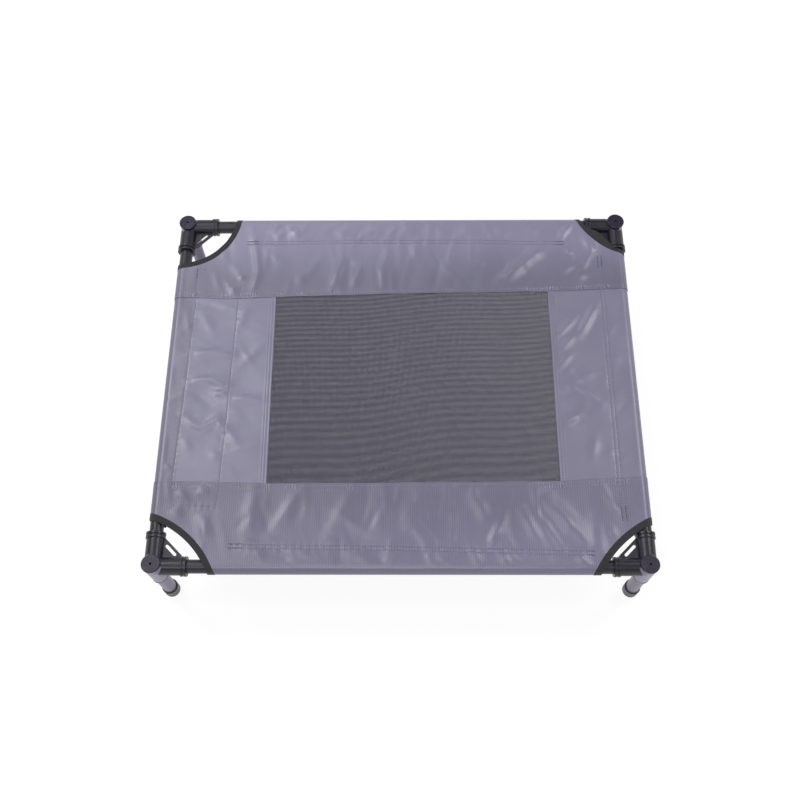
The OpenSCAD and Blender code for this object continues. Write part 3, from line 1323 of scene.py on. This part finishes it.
    def trimmed(self, along: Array, across: Array, faces: Array) -> tuple[Array, Array, Array]:
        """Cuts the round corners out of a grid.

        A face goes if its middle lies inside a cut's circle in plan, and the points left at the
        cut slide on to the circle, along the rail where the cloth is on a sleeve.

        Args:
            along: unrolled places of the grid's points.
            across: unrolled places of the grid's points.
            faces: the grid's quads.

        Returns:
            The moved places, flattened, and the faces that stay.
        """
        faces = faces.reshape(-1, 4)
        a, c = along.ravel().copy(), across.ravel().copy()
        keep = ~((np.abs(a) > self.rails.half_x) & (c > self.rail))[faces].any(1)
        for cut in self.cuts:
            half, radius = self.rails.half_x, cut.radius - self.cut_inset
            end = self.ends[0 if cut.sign < 0 else 1]
            on_end, on_rail = cut.sign * a > half, c > self.rail
            plan_a = np.where(on_end, cut.sign * (half + end.at(cut.sign * a - half)[0]), a)
            plan_c = self.rail + self.sleeve.at(c - self.rail)[0]
            from_a, from_c = plan_a - cut.along, plan_c - cut.across
            away = np.hypot(from_a, from_c)
            inside = away[faces].mean(1) < radius
            near = np.zeros(len(a), bool)
            near[faces[inside & keep].ravel()] = True
            keep &= ~inside
            stays = np.zeros(len(a), bool)
            stays[faces[keep].ravel()] = True
            rim = near & stays
            ease = radius / np.maximum(away, 1.0)
            side_c = cut.across - np.sqrt(np.maximum(radius**2 - from_a**2, 0.0))
            side_a = cut.along - cut.sign * np.sqrt(np.maximum(radius**2 - from_c**2, 0.0))
            round_a, round_c = cut.along + from_a * ease, cut.across + from_c * ease
            a = np.where(rim & on_rail, side_a, np.where(rim & ~on_end, round_a, a))
            c = np.where(rim & on_end, side_c, np.where(rim & ~on_rail, round_c, c))
        return a, c, faces[keep]

    def build(self) -> bpy.types.Object:
        """Makes the panel as a grid over its flat cut, put on the cot and given its wall.

        Returns:
            The panel's object.
        """
        steps = self.along_steps()
        across = self.across_steps(steps)
        along = np.broadcast_to(steps[:, None], across.shape)
        a, c, faces = self.trimmed(along, across, grid_faces(*across.shape, self.side.flips))
        points, _ = self.place(a, c)
        uv = np.stack([a, c], -1)
        corner = uv[faces]
        cross = np.cross(corner[:, 2] - corner[:, 0], corner[:, 3] - corner[:, 1])
        self.area = float(np.abs(cross).sum() / 2.0)
        self.flat = (float(np.ptp(a)), float(np.ptp(c)))
        hem = np.clip((c - self.edge_at(a)) / HEM_SPAN, 0.0, 1.0)
        piece = mesh_object(self.name, points, faces, self.finish.material(), uv, hem)
        thickened(piece, self.wall)
        return piece

    def dress(self, piece: bpy.types.Object, with_pieces: Sequence[bpy.types.Object]) -> None:
        """Puts the panel on the frame in place of its CAD node.

        Args:
            piece: the panel's object.
            with_pieces: the tapes and thread sewn to it; not used.
        """
        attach(piece, FRAME_BODY)
        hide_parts(f"cover_{self.side.value}_panel")
        self.flat[0] * MM
        self.flat[1] * MM
        self.area * MM * MM


@dataclass(frozen=True)
class MeshPanel:
    """The open mesh in the middle: two crossing layers of flat coated yarn."""

    finish: Finish
    left: float = -256.0
    right: float = 303.0
    front: float = -217.0
    back: float = 206.0
    weft_pitch: float = 1.45
    warp_pitch: float = 1.3
    weft_width: float = 1.07
    warp_width: float = 0.9
    yarn_height: float = 0.30
    band_depth: float = 0.1
    band_rate: float = 0.0739
    band_gain: float = 6.42e-5
    band_slant: float = 0.0066
    band_growth: float = 0.0013
    stripe_depth: float = 0.065
    stripe_rate: float = 0.0891
    stripe_fan: float = 9.19e-5
    stripe_slant: float = 0.0093
    stripe_bend: float = 2.4e-5
    thinning: Run = (0.06, 0.03)
    thinning_run: Run = (280.0, 212.0)
    level: float = 174.5
    layer_gap: float = 0.26
    sag: float = 0.5
    middle: Run = (23.0, -7.0)
    span: Run = (560.0, 420.0)
    tone_spread: float = 0.06
    stations: int = 31
    seed: int = 5

    def pull(self, x: Array, y: Array) -> tuple[Array, Array]:
        """How far the weave is drawn aside: a few tenths of a millimetre in long waves.

        Args:
            x: x of the places in plan.
            y: y of the places in plan.

        Returns:
            The shifts in x and in y.
        """
        dx = 0.25 * np.sin(y / 47.0) + 0.15 * np.sin(x / 31.0 + y / 90.0)
        dy = 0.35 * np.sin(x / 58.0) + 0.2 * np.sin(x / 23.0 + y / 75.0)
        return dx, dy

    def bands(self, x: Array, y: Array) -> Array:
        """The weft's slow rhythm: slanting bands, closer together and stronger at the back.

        Args:
            x: x of the places in plan.
            y: y of the places in plan.

        Returns:
            The rhythm, from about -1 to 1.
        """
        sway = 0.32 * np.cos((x + 75.0) / 50.0)
        turns = y * (self.band_rate + self.band_gain * y) - self.band_slant * x + sway
        return (1.0 + self.band_growth * y) * np.sin(TURN * turns)

    def stripes(self, x: Array, y: Array) -> Array:
        """The warp's slow rhythm from -1 to 1: stripes that fan out to the front.

        Args:
            x: x of the places in plan.
            y: y of the places in plan.

        Returns:
            The rhythm.
        """
        slanted = y * (self.stripe_slant - self.stripe_bend * y)
        turns = x * (self.stripe_rate - self.stripe_fan * y) - slanted
        return np.sin(TURN * turns)

    def yarns(self, starts: Array, run: Run, width: float, level: float, is_weft: bool) -> Array:
        """Points of parallel yarns: a flat lozenge section carried along each yarn's line.

        Args:
            starts: the yarns' places across their direction.
            run: where they begin and end.
            width: a yarn's width.
            level: the height of its middle.
            is_weft: True for the yarns that run along x.

        Returns:
            Points shaped (yarns, stations, 4, 3).
        """
        across, along = np.meshgrid(starts, np.linspace(*run, self.stations), indexing="ij")
        x, y = (along, across) if is_weft else (across, along)
        dx, dy = self.pull(x, y)
        x_share = (x - self.middle[0]) / self.span[0]
        y_share = (y - self.middle[1]) / self.span[1]
        sag = -self.sag * np.cos(x_share * math.pi) * np.cos(y_share * math.pi)
        centre = np.stack([x + dx, y + dy, level + sag], -1)
        section = np.array([[-0.5, 0.0], [0.0, -0.5], [0.5, 0.0], [0.0, 0.5]])
        if is_weft:
            thinner_x = self.thinning[0] * (x - self.middle[0]) / self.thinning_run[0]
            thinner = thinner_x + self.thinning[1] * y / self.thinning_run[1]
            wide = width * (1.0 + self.band_depth * self.bands(x, y) - thinner)
        else:
            wide = -width * (1.0 + self.stripe_depth * self.stripes(x, y))
        offset = np.zeros((*x.shape, 4, 3))
        offset[..., 1 if is_weft else 0] = section[:, 0] * wide[..., None]
        offset[..., 2] = section[:, 1] * self.yarn_height
        return centre[:, :, None, :] + offset

    def build(self) -> bpy.types.Object:
        """Makes all yarns as one piece, each closed at both ends.

        Returns:
            The mesh's object.
        """
        draw = np.random.default_rng(self.seed)
        weft = np.arange(self.front, self.back, self.weft_pitch)
        warp = np.arange(self.left, self.right, self.warp_pitch)
        upper = self.level + self.layer_gap
        points = np.concatenate(
            [
                self.yarns(weft, (self.left, self.right), self.weft_width, self.level, True),
                self.yarns(warp, (self.front, self.back), self.warp_width, upper, False),
            ]
        )
        count = len(points)
        ring = np.arange(self.stations * 4).reshape(self.stations, 4)
        ahead = np.roll(ring, -1, 1)
        tube = np.stack([ring[:-1], ahead[:-1], ahead[1:], ring[1:]], -1).reshape(-1, 4)
        closed = np.concatenate([tube, ring[:1, ::-1], ring[-1:]])
        faces = closed[None] + (np.arange(count) * ring.size)[:, None, None]
        tone = np.repeat(0.5 + draw.normal(0.0, self.tone_spread, count), ring.size)
        return mesh_object("mesh_cloth", points, faces, self.finish.material(), tone=tone)

    def dress(self, piece: bpy.types.Object) -> None:
        """Puts the mesh on the frame in place of its CAD node.

        Args:
            piece: the mesh's object.
        """
        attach(piece, FRAME_BODY)
        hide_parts("mesh_panel")
        (self.right - self.left) * MM
        (self.back - self.front) * MM


@dataclass(frozen=True)
class CornerBinding:
    """The folded tape on a corner cut-out, which goes on round both sleeve ends."""

    name: str
    panel: CoverPanel
    cut: CornerCut
    finish: Finish
    overlap: float = 0.8
    wall: float = 0.4
    flap_share: float = 0.3
    top: float = 0.5
    under: float = -1.45
    fold_level: float = -0.47
    edge_dip: float = 0.12
    fold_points: int = 9
    flat_points: int = 5
    sleeve_points: int = 25
    flap_points: int = 3
    corner_points: int = 44

    def profile(self) -> Array:
        """The tape's fold: its distance from the cut's centre and its height on the cloth.

        Returns:
            Points from the upper edge round the fold to the lower edge.
        """
        inner, outer = self.cut.radius - self.cut.tape, self.cut.radius + self.overlap
        bend = np.linspace(0.5 * math.pi, 1.5 * math.pi, self.fold_points)
        depth = 0.5 * (self.top - self.under)
        fold = inner + depth + depth * np.cos(bend), self.fold_level + depth * np.sin(bend)
        run = np.linspace(outer, inner + depth, self.flat_points, endpoint=False)
        upper = np.stack([run, np.full_like(run, self.top)], -1)
        upper[0, 1] -= self.edge_dip
        lower = np.stack([run[::-1], np.full_like(run, self.under)], -1)
        return np.concatenate([upper, np.stack(fold, -1), lower])

    def lane(self, away: float, height: float) -> Array:
        """The line that one point of the fold follows.

        It comes up the end sleeve, crosses the corner on the cut's circle and goes down the rail's
        sleeve, always at the same distance from the cut's centre in plan.

        Args:
            away: distance from the cut's centre in plan.
            height: distance from the cloth's outer face.

        Returns:
            Points along the line.
        """
        panel, cut = self.panel, self.cut
        end = panel.ends[0 if cut.sign < 0 else 1].grown(height)
        own = panel.sleeve.grown(height)
        half = panel.rails.half_x

        def turned(sleeve: Sleeve) -> Array:
            """Lengths down a sleeve, from just past its top to a part of its flap.

            Args:
                sleeve: the sleeve.

            Returns:
                The lengths.
            """
            stop = sleeve.arc + self.flap_share * sleeve.flap
            bent = np.linspace(0.0, sleeve.arc, self.sleeve_points + 1)[1:]
            return np.append(bent, np.linspace(sleeve.arc, stop, self.flap_points + 1)[1:])

        out, up, _, _ = end.at(turned(end)[::-1])
        end_along = cut.sign * (half + out)
        end_across = cut.across - np.sqrt(away**2 - (end_along - cut.along) ** 2)
        across_top = cut.across - math.sqrt(away**2 - (cut.sign * half - cut.along) ** 2)
        along_top = cut.along - cut.sign * math.sqrt(away**2 - (panel.rail - cut.across) ** 2)
        first = math.atan2(across_top - cut.across, cut.sign * half - cut.along)
        last = math.atan2(panel.rail - cut.across, along_top - cut.along)
        swing = (last - first + math.pi) % TURN - math.pi
        share = np.linspace(0.0, 1.0, self.corner_points)
        angle = first + share * swing
        wider = cut.swell * (cut.radius + self.overlap - away) / (cut.tape + self.overlap)
        reach = away - wider * np.sin(math.pi * share) ** 2
        mid_along = cut.along + reach * np.cos(angle)
        mid_across = cut.across + reach * np.sin(angle)
        x, y = panel.side.plan(mid_along, mid_across)
        mid_up = own.radius + panel.relief.height(x, y)
        own_out, own_up, _, _ = own.at(turned(own))
        own_across = panel.rail + own_out
        own_along = cut.along - cut.sign * np.sqrt(away**2 - (own_across - cut.across) ** 2)
        x, y = panel.side.plan(
            np.concatenate([end_along, mid_along, own_along]),
            np.concatenate([end_across, mid_across, own_across]),
        )
        return np.stack([x, y, panel.rails.height + np.concatenate([up, mid_up, own_up])], -1)

    def build(self) -> bpy.types.Object:
        """Makes the tape: the fold's profile carried along its lanes, then given a wall.

        Returns:
            The tape's object.
        """
        profile = self.profile()
        points = np.stack([self.lane(*p) for p in profile], 1)
        along = lengths_along(points[:, len(profile) // 2])
        across = lengths_along(profile)
        uv = np.stack(np.meshgrid(along, across, indexing="ij"), -1)
        flip = (self.cut.sign > 0) != self.panel.side.flips
        faces = grid_faces(len(along), len(across), flip)
        material = self.finish.material()
        piece = mesh_object(f"binding_{self.name}_tape", points, faces, material, uv)
        thickened(piece, self.wall)
        return piece

    def dress(self, piece: bpy.types.Object) -> None:
        """Puts the tape on the frame in place of its CAD node.

        Args:
            piece: the tape's object.
        """
        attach(piece, FRAME_BODY)
        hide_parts(f"binding_{self.name}")


@dataclass
class Stitching:
    """All stitches of one thread, gathered panel by panel and made as one piece."""

    name: str
    finish: Finish
    pitch: float = 5.2
    length: float = 3.1
    thread: float = 0.55
    phase: float = 0.5
    sunk: float = 0.0
    slot: str | None = None
    places: list[Array] = field(default_factory=list)
    ring_places: tuple[float, ...] = (-0.5, -0.34, 0.0, 0.34, 0.5)
    ring_heights: tuple[float, ...] = (-0.45, 0.28, 0.42, 0.28, -0.45)
    ring_girths: tuple[float, ...] = (0.7, 0.95, 1.0, 0.95, 0.7)
    foot: float = 0.3
    look: float = 0.5

    def template(self) -> tuple[Array, Array]:
        """One stitch: a six-sided tube of five rings whose ends dip into the cloth.

        Returns:
            The stitch's points and its faces.
        """
        along = np.array(self.ring_places) * self.length
        height = np.array(self.ring_heights) - self.sunk
        girth = np.array(self.ring_girths) * self.thread
        turn = np.arange(6) * (TURN / 6.0)
        points = np.stack(
            [
                np.broadcast_to(along[:, None], (5, 6)),
                girth[:, None] * np.cos(turn),
                height[:, None] + girth[:, None] * np.sin(turn),
            ],
            -1,
        )
        ring = np.arange(30).reshape(5, 6)
        ahead = np.roll(ring, -1, 1)
        sides = np.stack([ring[:-1], ring[1:], ahead[1:], ahead[:-1]], -1).reshape(-1, 4)
        first, last = ring[0], ring[-1]
        caps = np.array([first[:4], first[[3, 4, 5, 0]], last[[3, 2, 1, 0]], last[[0, 5, 4, 3]]])
        return points.reshape(-1, 3), np.concatenate([sides, caps])

    def sew(self, panel: CoverPanel, line: Line, offset: float = 0.0) -> None:
        """Adds a row of stitches.

        Args:
            panel: the cloth that the row is sewn on.
            line: the row's line in plan.
            offset: how far the row lies to the line's left.
        """
        corners = np.array(line, float)
        reach = lengths_along(corners)
        count = max(2, int(reach[-1] / self.pitch))
        middle = (np.arange(count) + self.phase) * (reach[-1] / count)

        def on_line(shift: float) -> Array:
            """The line's x and y at that length past each stitch's middle."""
            return np.stack([np.interp(middle + shift, reach, corners[:, k]) for k in (0, 1)])

        ahead = on_line(self.look) - on_line(-self.look)
        ahead /= np.linalg.norm(ahead, axis=0)
        ends = []
        for shift in (-self.foot, self.foot):
            x, y = on_line(shift)
            x, y = x - ahead[1] * offset, y + ahead[0] * offset
            ends.append(panel.place(*panel.side.local(x, y)))
        (before, normal), (after, _) = ends
        forward = after - before
        forward /= np.linalg.norm(forward, axis=1, keepdims=True)
        sideways = np.cross(normal, forward)
        self.places.append(np.stack([(before + after) / 2.0, forward, sideways, normal], 1))

    def build(self) -> bpy.types.Object:
        """Makes every stitch from the template, turned to its own row and cloth.

        Returns:
            The thread's object.
        """
        frames = np.concatenate(self.places)
        points, faces = self.template()
        placed = frames[:, None, 0] + np.einsum("pk,nkj->npj", points, frames[:, 1:])
        all_faces = faces[None] + (np.arange(len(frames)) * len(points))[:, None, None]
        piece = mesh_object(self.name, placed, all_faces, self.finish.material())
        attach(piece, FRAME_BODY)
        return piece


@dataclass(frozen=True)
class PanelPlan:
    """What one panel of the cover has of its own.

    The seam is how far inside its rail the sleeve ends, and the edge is its hem's line in plan.
    Cuts are a band's corner cut-outs, and lap_at is the x where a side panel goes under the bands.
    """

    cloth: Finish
    seam: float
    sewn: tuple[str, ...]
    edge: Line
    cuts: CutShapes = ()
    lap_at: float = 0.0


# The four cloths are one cloth whose base colours differ only as painted light and shade, the front
# band darkest and the right panel lightest
PANEL_PLANS = {
    Side.FRONT: PanelPlan(
        CoverCloth(
            "front_cloth",
            (0.135, 0.126, 0.197),
            rib_depth=0.34,
            tick=0.8,
            tick_reach=17.0,
            painted_light_run=(235.0, 325.0),
            fade=0.2,
            painted_light_along=0.3,
        ),
        33.0,
        ("front",),
        line_of(-454, -203, -342, -204, -245, -207, 0, -205, 293, -202.5, 380, -197.5, 454, -194),
        cuts=((64.4, 86.4, 189.1, 11.3), (106.8, 121.3, 230.0, 11.7)),
    ),
    Side.BACK: PanelPlan(
        CoverCloth(
            "back_cloth",
            (0.160, 0.151, 0.230),
            rib_depth=0.08,
            tick=1.6,
            painted_light_run=(212.0, 330.0),
            fade=0.55,
            painted_light_along=-0.10,
        ),
        45.0,
        ("back",),
        line_of(
            -454, 185, -400, 185, -342, 182.6, -249, 187, 0, 194.5, 293, 198.5, 380, 202.5, 454, 204
        ),
        cuts=((18.3, 22.7, 130.0, 10.4), (57.6, 68.0, 150.0, 8.0, 11.0)),
    ),
    Side.LEFT: PanelPlan(
        CoverCloth(
            "left_cloth",
            (0.164, 0.155, 0.232),
            rib=3.7,
            rib_depth=0.05,
            painted_light_run=(411.0, 415.0),
            fade=-0.26,
            painted_light_along=0.22,
        ),
        27.0,
        ("left_mid", "left"),
        line_of(-245, -216, -248.7, 200),
        lap_at=-300.0,
    ),
    Side.RIGHT: PanelPlan(
        CoverCloth("right_cloth", (0.171, 0.161, 0.241), rib=3.7, rib_depth=0.05),
        41.0,
        ("right",),
        line_of(293, -216, 293, 210),
        lap_at=350.0,
    ),
}


@dataclass(frozen=True)
class Cover:
    """The sewn cover: two bands, two side panels, the mesh, the corner bindings and the thread."""

    rails: Rails
    relief: Relief
    band_radius: float = 14.3
    side_radius: float = 13.4
    layer_gap: float = 1.8
    lap: float = 13.0
    band_hem_half: float = 438.0
    side_hem_stop: float = 16.0
    hem_points: int = 60
    mesh_yarn: Finish = MeshYarn("mesh_yarn", (0.043, 0.039, 0.075))
    tape: Finish = RibbedTape("binding_tape", (0.022, 0.021, 0.025))
    thread: Finish = SewingThread("seam_thread", (0.275, 0.262, 0.360))
    # Dark sunk stitches between the thread's stitches are painted shade in the needle punctures
    needle_hole_shade: Finish = SewingThread("needle_hole_painted_shade", (0.090, 0.084, 0.130))
    dark_thread: Finish = SewingThread("tack_thread", (0.030, 0.028, 0.042))

    def sleeve(self, radius: float, side: Side) -> Sleeve:
        """A sleeve whose lower layer ends just under the sagging upper one at that side's seam."""
        seam = PANEL_PLANS[side].seam
        return Sleeve(radius, seam, self.layer_gap + float(self.relief.hang(seam)))

    def panel(self, side: Side, radius: float, **own: object) -> CoverPanel:
        """A panel with what its side's plan gives it.

        Args:
            side: the panel's side.
            radius: the radius of its sleeve.
            own: fields that only bands or only side panels set.

        Returns:
            The panel.
        """
        plan, sleeve = PANEL_PLANS[side], self.sleeve(radius, side)
        sewn = tuple(SEAMS[name].line for name in plan.sewn)
        return CoverPanel(
            side, self.rails, self.relief, sleeve, plan.edge, sewn, plan.cloth, **own
        )

    def band(self, side: Side) -> CoverPanel:
        """The front or back band, which also turns round the ends of the side rails.

        Args:
            side: the front or the back.

        Returns:
            The band.
        """
        cuts = zip((-1.0, 1.0), PANEL_PLANS[side].cuts)
        return self.panel(
            side,
            self.band_radius,
            ends=tuple(self.sleeve(self.band_radius, end) for end in (Side.LEFT, Side.RIGHT)),
            cuts=tuple(CornerCut.at(sign, self.rails, shape) for sign, shape in cuts),
        )

    def side_panel(self, side: Side) -> CoverPanel:
        """The left or right panel, which runs a little way under both bands.

        Args:
            side: the left or the right.

        Returns:
            The panel.
        """
        front, back = (
            float(np.interp(PANEL_PLANS[side].lap_at, *zip(*PANEL_PLANS[band].edge)))
            for band in (Side.FRONT, Side.BACK)
        )
        return self.panel(
            side,
            self.side_radius,
            hem=12.0,
            hem_rise=0.35,
            hem_rows=(4.5, 10.4),
            hem_groove=0.35,
            reach=(front - self.lap, back + self.lap),
        )

    def sew(self, panels: dict[Side, CoverPanel]) -> list[bpy.types.Object]:
        """Sews every seam, hem and back-tack.

        Args:
            panels: the panels by their side.

        Returns:
            The pieces of thread.
        """
        rows = Stitching("seam_stitches", self.thread, slot="cover_fabric")
        # Dark sunk pieces between the stitches are painted shade in the needle punctures
        hole_shades = Stitching("needle_hole_shades", self.needle_hole_shade, length=2.4, thread=0.7, phase=0.02, sunk=0.55)
        tacks = Stitching("tack_stitches", self.dark_thread, pitch=2.1, length=3.2, thread=0.55)
        for name, seam in SEAMS.items():
            side = Side(name.split("_")[-1]) if "_at_" in name else Side(name.split("_")[0])
            for row in seam.rows:
                rows.sew(panels[side], seam.line, row)
                hole_shades.sew(panels[side], seam.line, row)
                for at_end, length in enumerate(seam.tacks):
                    line = tuple(reversed(seam.line)) if at_end else seam.line
                    if length:
                        tacks.sew(panels[side], shortened(line, length), -row if at_end else row)
        for side, panel in panels.items():
            low, high = panel.reach[0] + self.side_hem_stop, panel.reach[1] - self.side_hem_stop
            if side.is_band:
                low, high = -self.band_hem_half, self.band_hem_half
            along = np.linspace(low, high, self.hem_points)
            for row in panel.hem_rows:
                line = tuple(zip(*panel.side.plan(along, panel.edge_at(along) + row)))
                rows.sew(panel, line)
                if not side.is_band:
                    hole_shades.sew(panel, line)
        return [stitching.build() for stitching in (rows, hole_shades, tacks)]

    def build(self) -> None:
        """Builds and dresses the whole cover."""
        panels = {side: self.band(side) if side.is_band else self.side_panel(side) for side in Side}
        pieces = {side: panel.build() for side, panel in panels.items()}
        bindings: dict[Side, list[bpy.types.Object]] = {side: [] for side in Side}
        for side in (Side.FRONT, Side.BACK):
            for cut, end in zip(panels[side].cuts, ("left", "right")):
                binding = CornerBinding(f"{side.value}_{end}", panels[side], cut, self.tape)
                tape = binding.build()
                binding.dress(tape)
                bindings[side].append(tape)
                LOG.info("binding %s: %d faces", tape.name, len(tape.data.polygons))
        mesh = MeshPanel(self.mesh_yarn)
        net = mesh.build()
        mesh.dress(net)
        LOG.info("mesh: %d faces", len(net.data.polygons))
        thread = self.sew(panels)
        for side, piece in pieces.items():
            panels[side].dress(piece, bindings[side] + (thread if side is Side.FRONT else []))
            LOG.info(
                "panel %s: %d faces, cut %.0f x %.0f mm, %.4f square metres",
                piece.name,
                len(piece.data.polygons),
                *panels[side].flat,
                panels[side].area * MM * MM,
            )


@dataclass(frozen=True)
class HardParts:
    """The connectors, caps, rails, legs and feet, which keep their CAD shape."""

    nodes: dict[str, bpy.types.Object]
    # The connectors' light socket colour is painted reflection of the white floor
    plastic: Finish = MouldedPlastic(
        "moulded_plastic", (0.011, 0.009, 0.019), painted_socket_reflection=(0.232, 0.207, 0.305)
    )
    # The caps' dimples are painted dark as painted shade in the recess
    cap: Finish = MouldedPlastic(
        "cap_plastic", (0.017, 0.0125, 0.031), roughness=0.28, painted_shade_radius=2.2
    )
    coat: Finish = PowderCoat("powder_coat", (0.015, 0.012, 0.022))
    # The legs' light lilac colour is painted reflection of the white floor on a dark coat
    leg_coat_painted_reflection: Finish = PowderCoat("leg_coat_painted_reflection", (0.172, 0.140, 0.230), roughness=0.34)
    rubber: Finish = FootRubber("foot_rubber", (0.050, 0.049, 0.054))

    def build(self) -> None:
        """Gives each kept node its finish by the first word of its name."""
        finishes = {
            "connector": self.plastic.material(),
            "cap": self.cap.material(),
            "rail": self.coat.material(),
            "leg": self.leg_coat_painted_reflection.material(),
            "foot": self.rubber.material(),
        }
        for name, node in self.nodes.items():
            material = finishes.get(name.split("_")[0])
            if material is not None:
                node.data.materials.clear()
                node.data.materials.append(material)
                LOG.info("node %s: %s", name, material.name)


def frame_matrix(*columns: Sequence[float]) -> Matrix:
    """The matrix of an object from its three axes and its place.

    Args:
        columns: the three axes and the place.

    Returns:
        The matrix.
    """
    turn = np.eye(4)
    turn[:3] = np.stack(columns, -1)
    return Matrix(turn.tolist())


@dataclass(frozen=True)
class SoftBox:
    """A studio lamp with a rectangular face that points at the cot."""

    name: str
    tilt_x: float
    tilt_y: float
    watts: float
    width: float = 0.9
    depth: float = 0.9
    distance: float = 2.8
    target: Colour = (0.0, 0.0, 0.17)

    def build(self) -> None:
        """Hangs the lamp at its tilts from the vertical, in degrees to the right and the back."""
        lamp = bpy.data.lights.new(self.name, "AREA")
        lamp.shape = "RECTANGLE"
        lamp.size, lamp.size_y = self.width, self.depth
        lamp.energy = self.watts
        made = bpy.data.objects.new(self.name, lamp)
        bpy.context.scene.collection.objects.link(made)
        tilts = (math.radians(self.tilt_x), math.radians(self.tilt_y))
        away = np.array([*map(math.tan, tilts), 1.0])
        away /= np.linalg.norm(away)
        side = np.cross([0.0, 1.0, 0.0], away)
        side /= np.linalg.norm(side)
        place = away * self.distance + self.target
        made.matrix_world = frame_matrix(side, np.cross(away, side), away, place)


@dataclass(frozen=True)
class Studio:
    """The camera at the photograph's angle, the lamps, the white floor and the world."""

    lens: float = 45.18
    sensor: float = 36.0
    eye: Colour = (0.0203, -0.8326, 1.9101)
    right: Colour = (0.999938, 0.003920, -0.010420)
    up: Colour = (0.000772, 0.909285, 0.416173)
    back: Colour = (0.011106, -0.416155, 0.909226)
    ambient: float = 0.36
    white: Finish = StudioWhite("studio_white", (0.17, 0.17, 0.17))
    floor_rings: Run = (1.0, 3000.0)
    floor_radius: float = 9000.0
    cove_radius: float = 1500.0
    cove_points: int = 10
    wall_height: float = 4500.0
    floor_sides: int = 64
    lamps: tuple[SoftBox, ...] = (
        SoftBox("key_box", -35.0, 24.0, 26.0),
        SoftBox("side_box", 39.0, 20.0, 20.0),
        SoftBox("top_box", -9.0, -4.0, 9.0, depth=0.3),
        SoftBox("front_box", -6.0, -33.0, 20.0, width=1.8, depth=0.6),
        SoftBox("back_box", -12.0, 47.0, 5.0, depth=0.25),
    )

    def camera(self) -> None:
        """Sets the camera solved from the caps and feet in the photograph."""
        data = bpy.data.cameras.new("photo_camera")
        data.lens, data.sensor_width = self.lens, self.sensor
        made = bpy.data.objects.new("photo_camera", data)
        bpy.context.scene.collection.objects.link(made)
        made.matrix_world = frame_matrix(self.right, self.up, self.back, self.eye)
        bpy.context.scene.camera = made

    def floor(self) -> None:
        """A white floor that rises into a round backdrop.

        Its profile, a flat, a quarter circle and an upright wall, is turned about the upright axis.
        """
        bend = np.linspace(0.0, 0.5 * math.pi, self.cove_points)
        cove = self.floor_radius + self.cove_radius * np.sin(bend)
        reach = np.concatenate([self.floor_rings, cove, cove[-1:]])
        cove_rise = self.cove_radius * (1.0 - np.cos(bend))
        rise = np.concatenate([[0.0, 0.0], cove_rise, [self.wall_height]])
        turn = np.linspace(0.0, TURN, self.floor_sides + 1)[:, None]
        points = np.stack(np.broadcast_arrays(reach * np.cos(turn), reach * np.sin(turn), rise), -1)
        faces = grid_faces(self.floor_sides + 1, len(reach), True)
        floor = mesh_object("studio_floor", points, faces, self.white.material())

    def world(self) -> None:
        """Even white light from above the backdrop."""
        world = bpy.data.worlds.new("studio_world")
        world.use_nodes = True
        bpy.context.scene.world = world
        g = Graph(world.node_tree)
        sky = g.node("ShaderNodeBackground", {}, {"Strength": self.ambient})
        g.node("ShaderNodeOutputWorld", {}, {"Surface": sky})

    def build(self) -> None:
        """Builds the whole studio."""
        bpy.context.scene.view_settings.view_transform = "Standard"
        self.camera()
        self.floor()
        self.world()
        for lamp in self.lamps:
            lamp.build()


def main() -> None:
    """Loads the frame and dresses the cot."""
    logging.basicConfig(level=logging.INFO, format="%(message)s")
    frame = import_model()
    Studio().build()
    HardParts(frame["nodes"]).build()
    rails = Rails.from_frame()
    Cover(rails, Relief(rails)).build()
    bpy.context.view_layer.update()


if __name__ == "__main__":
    main()
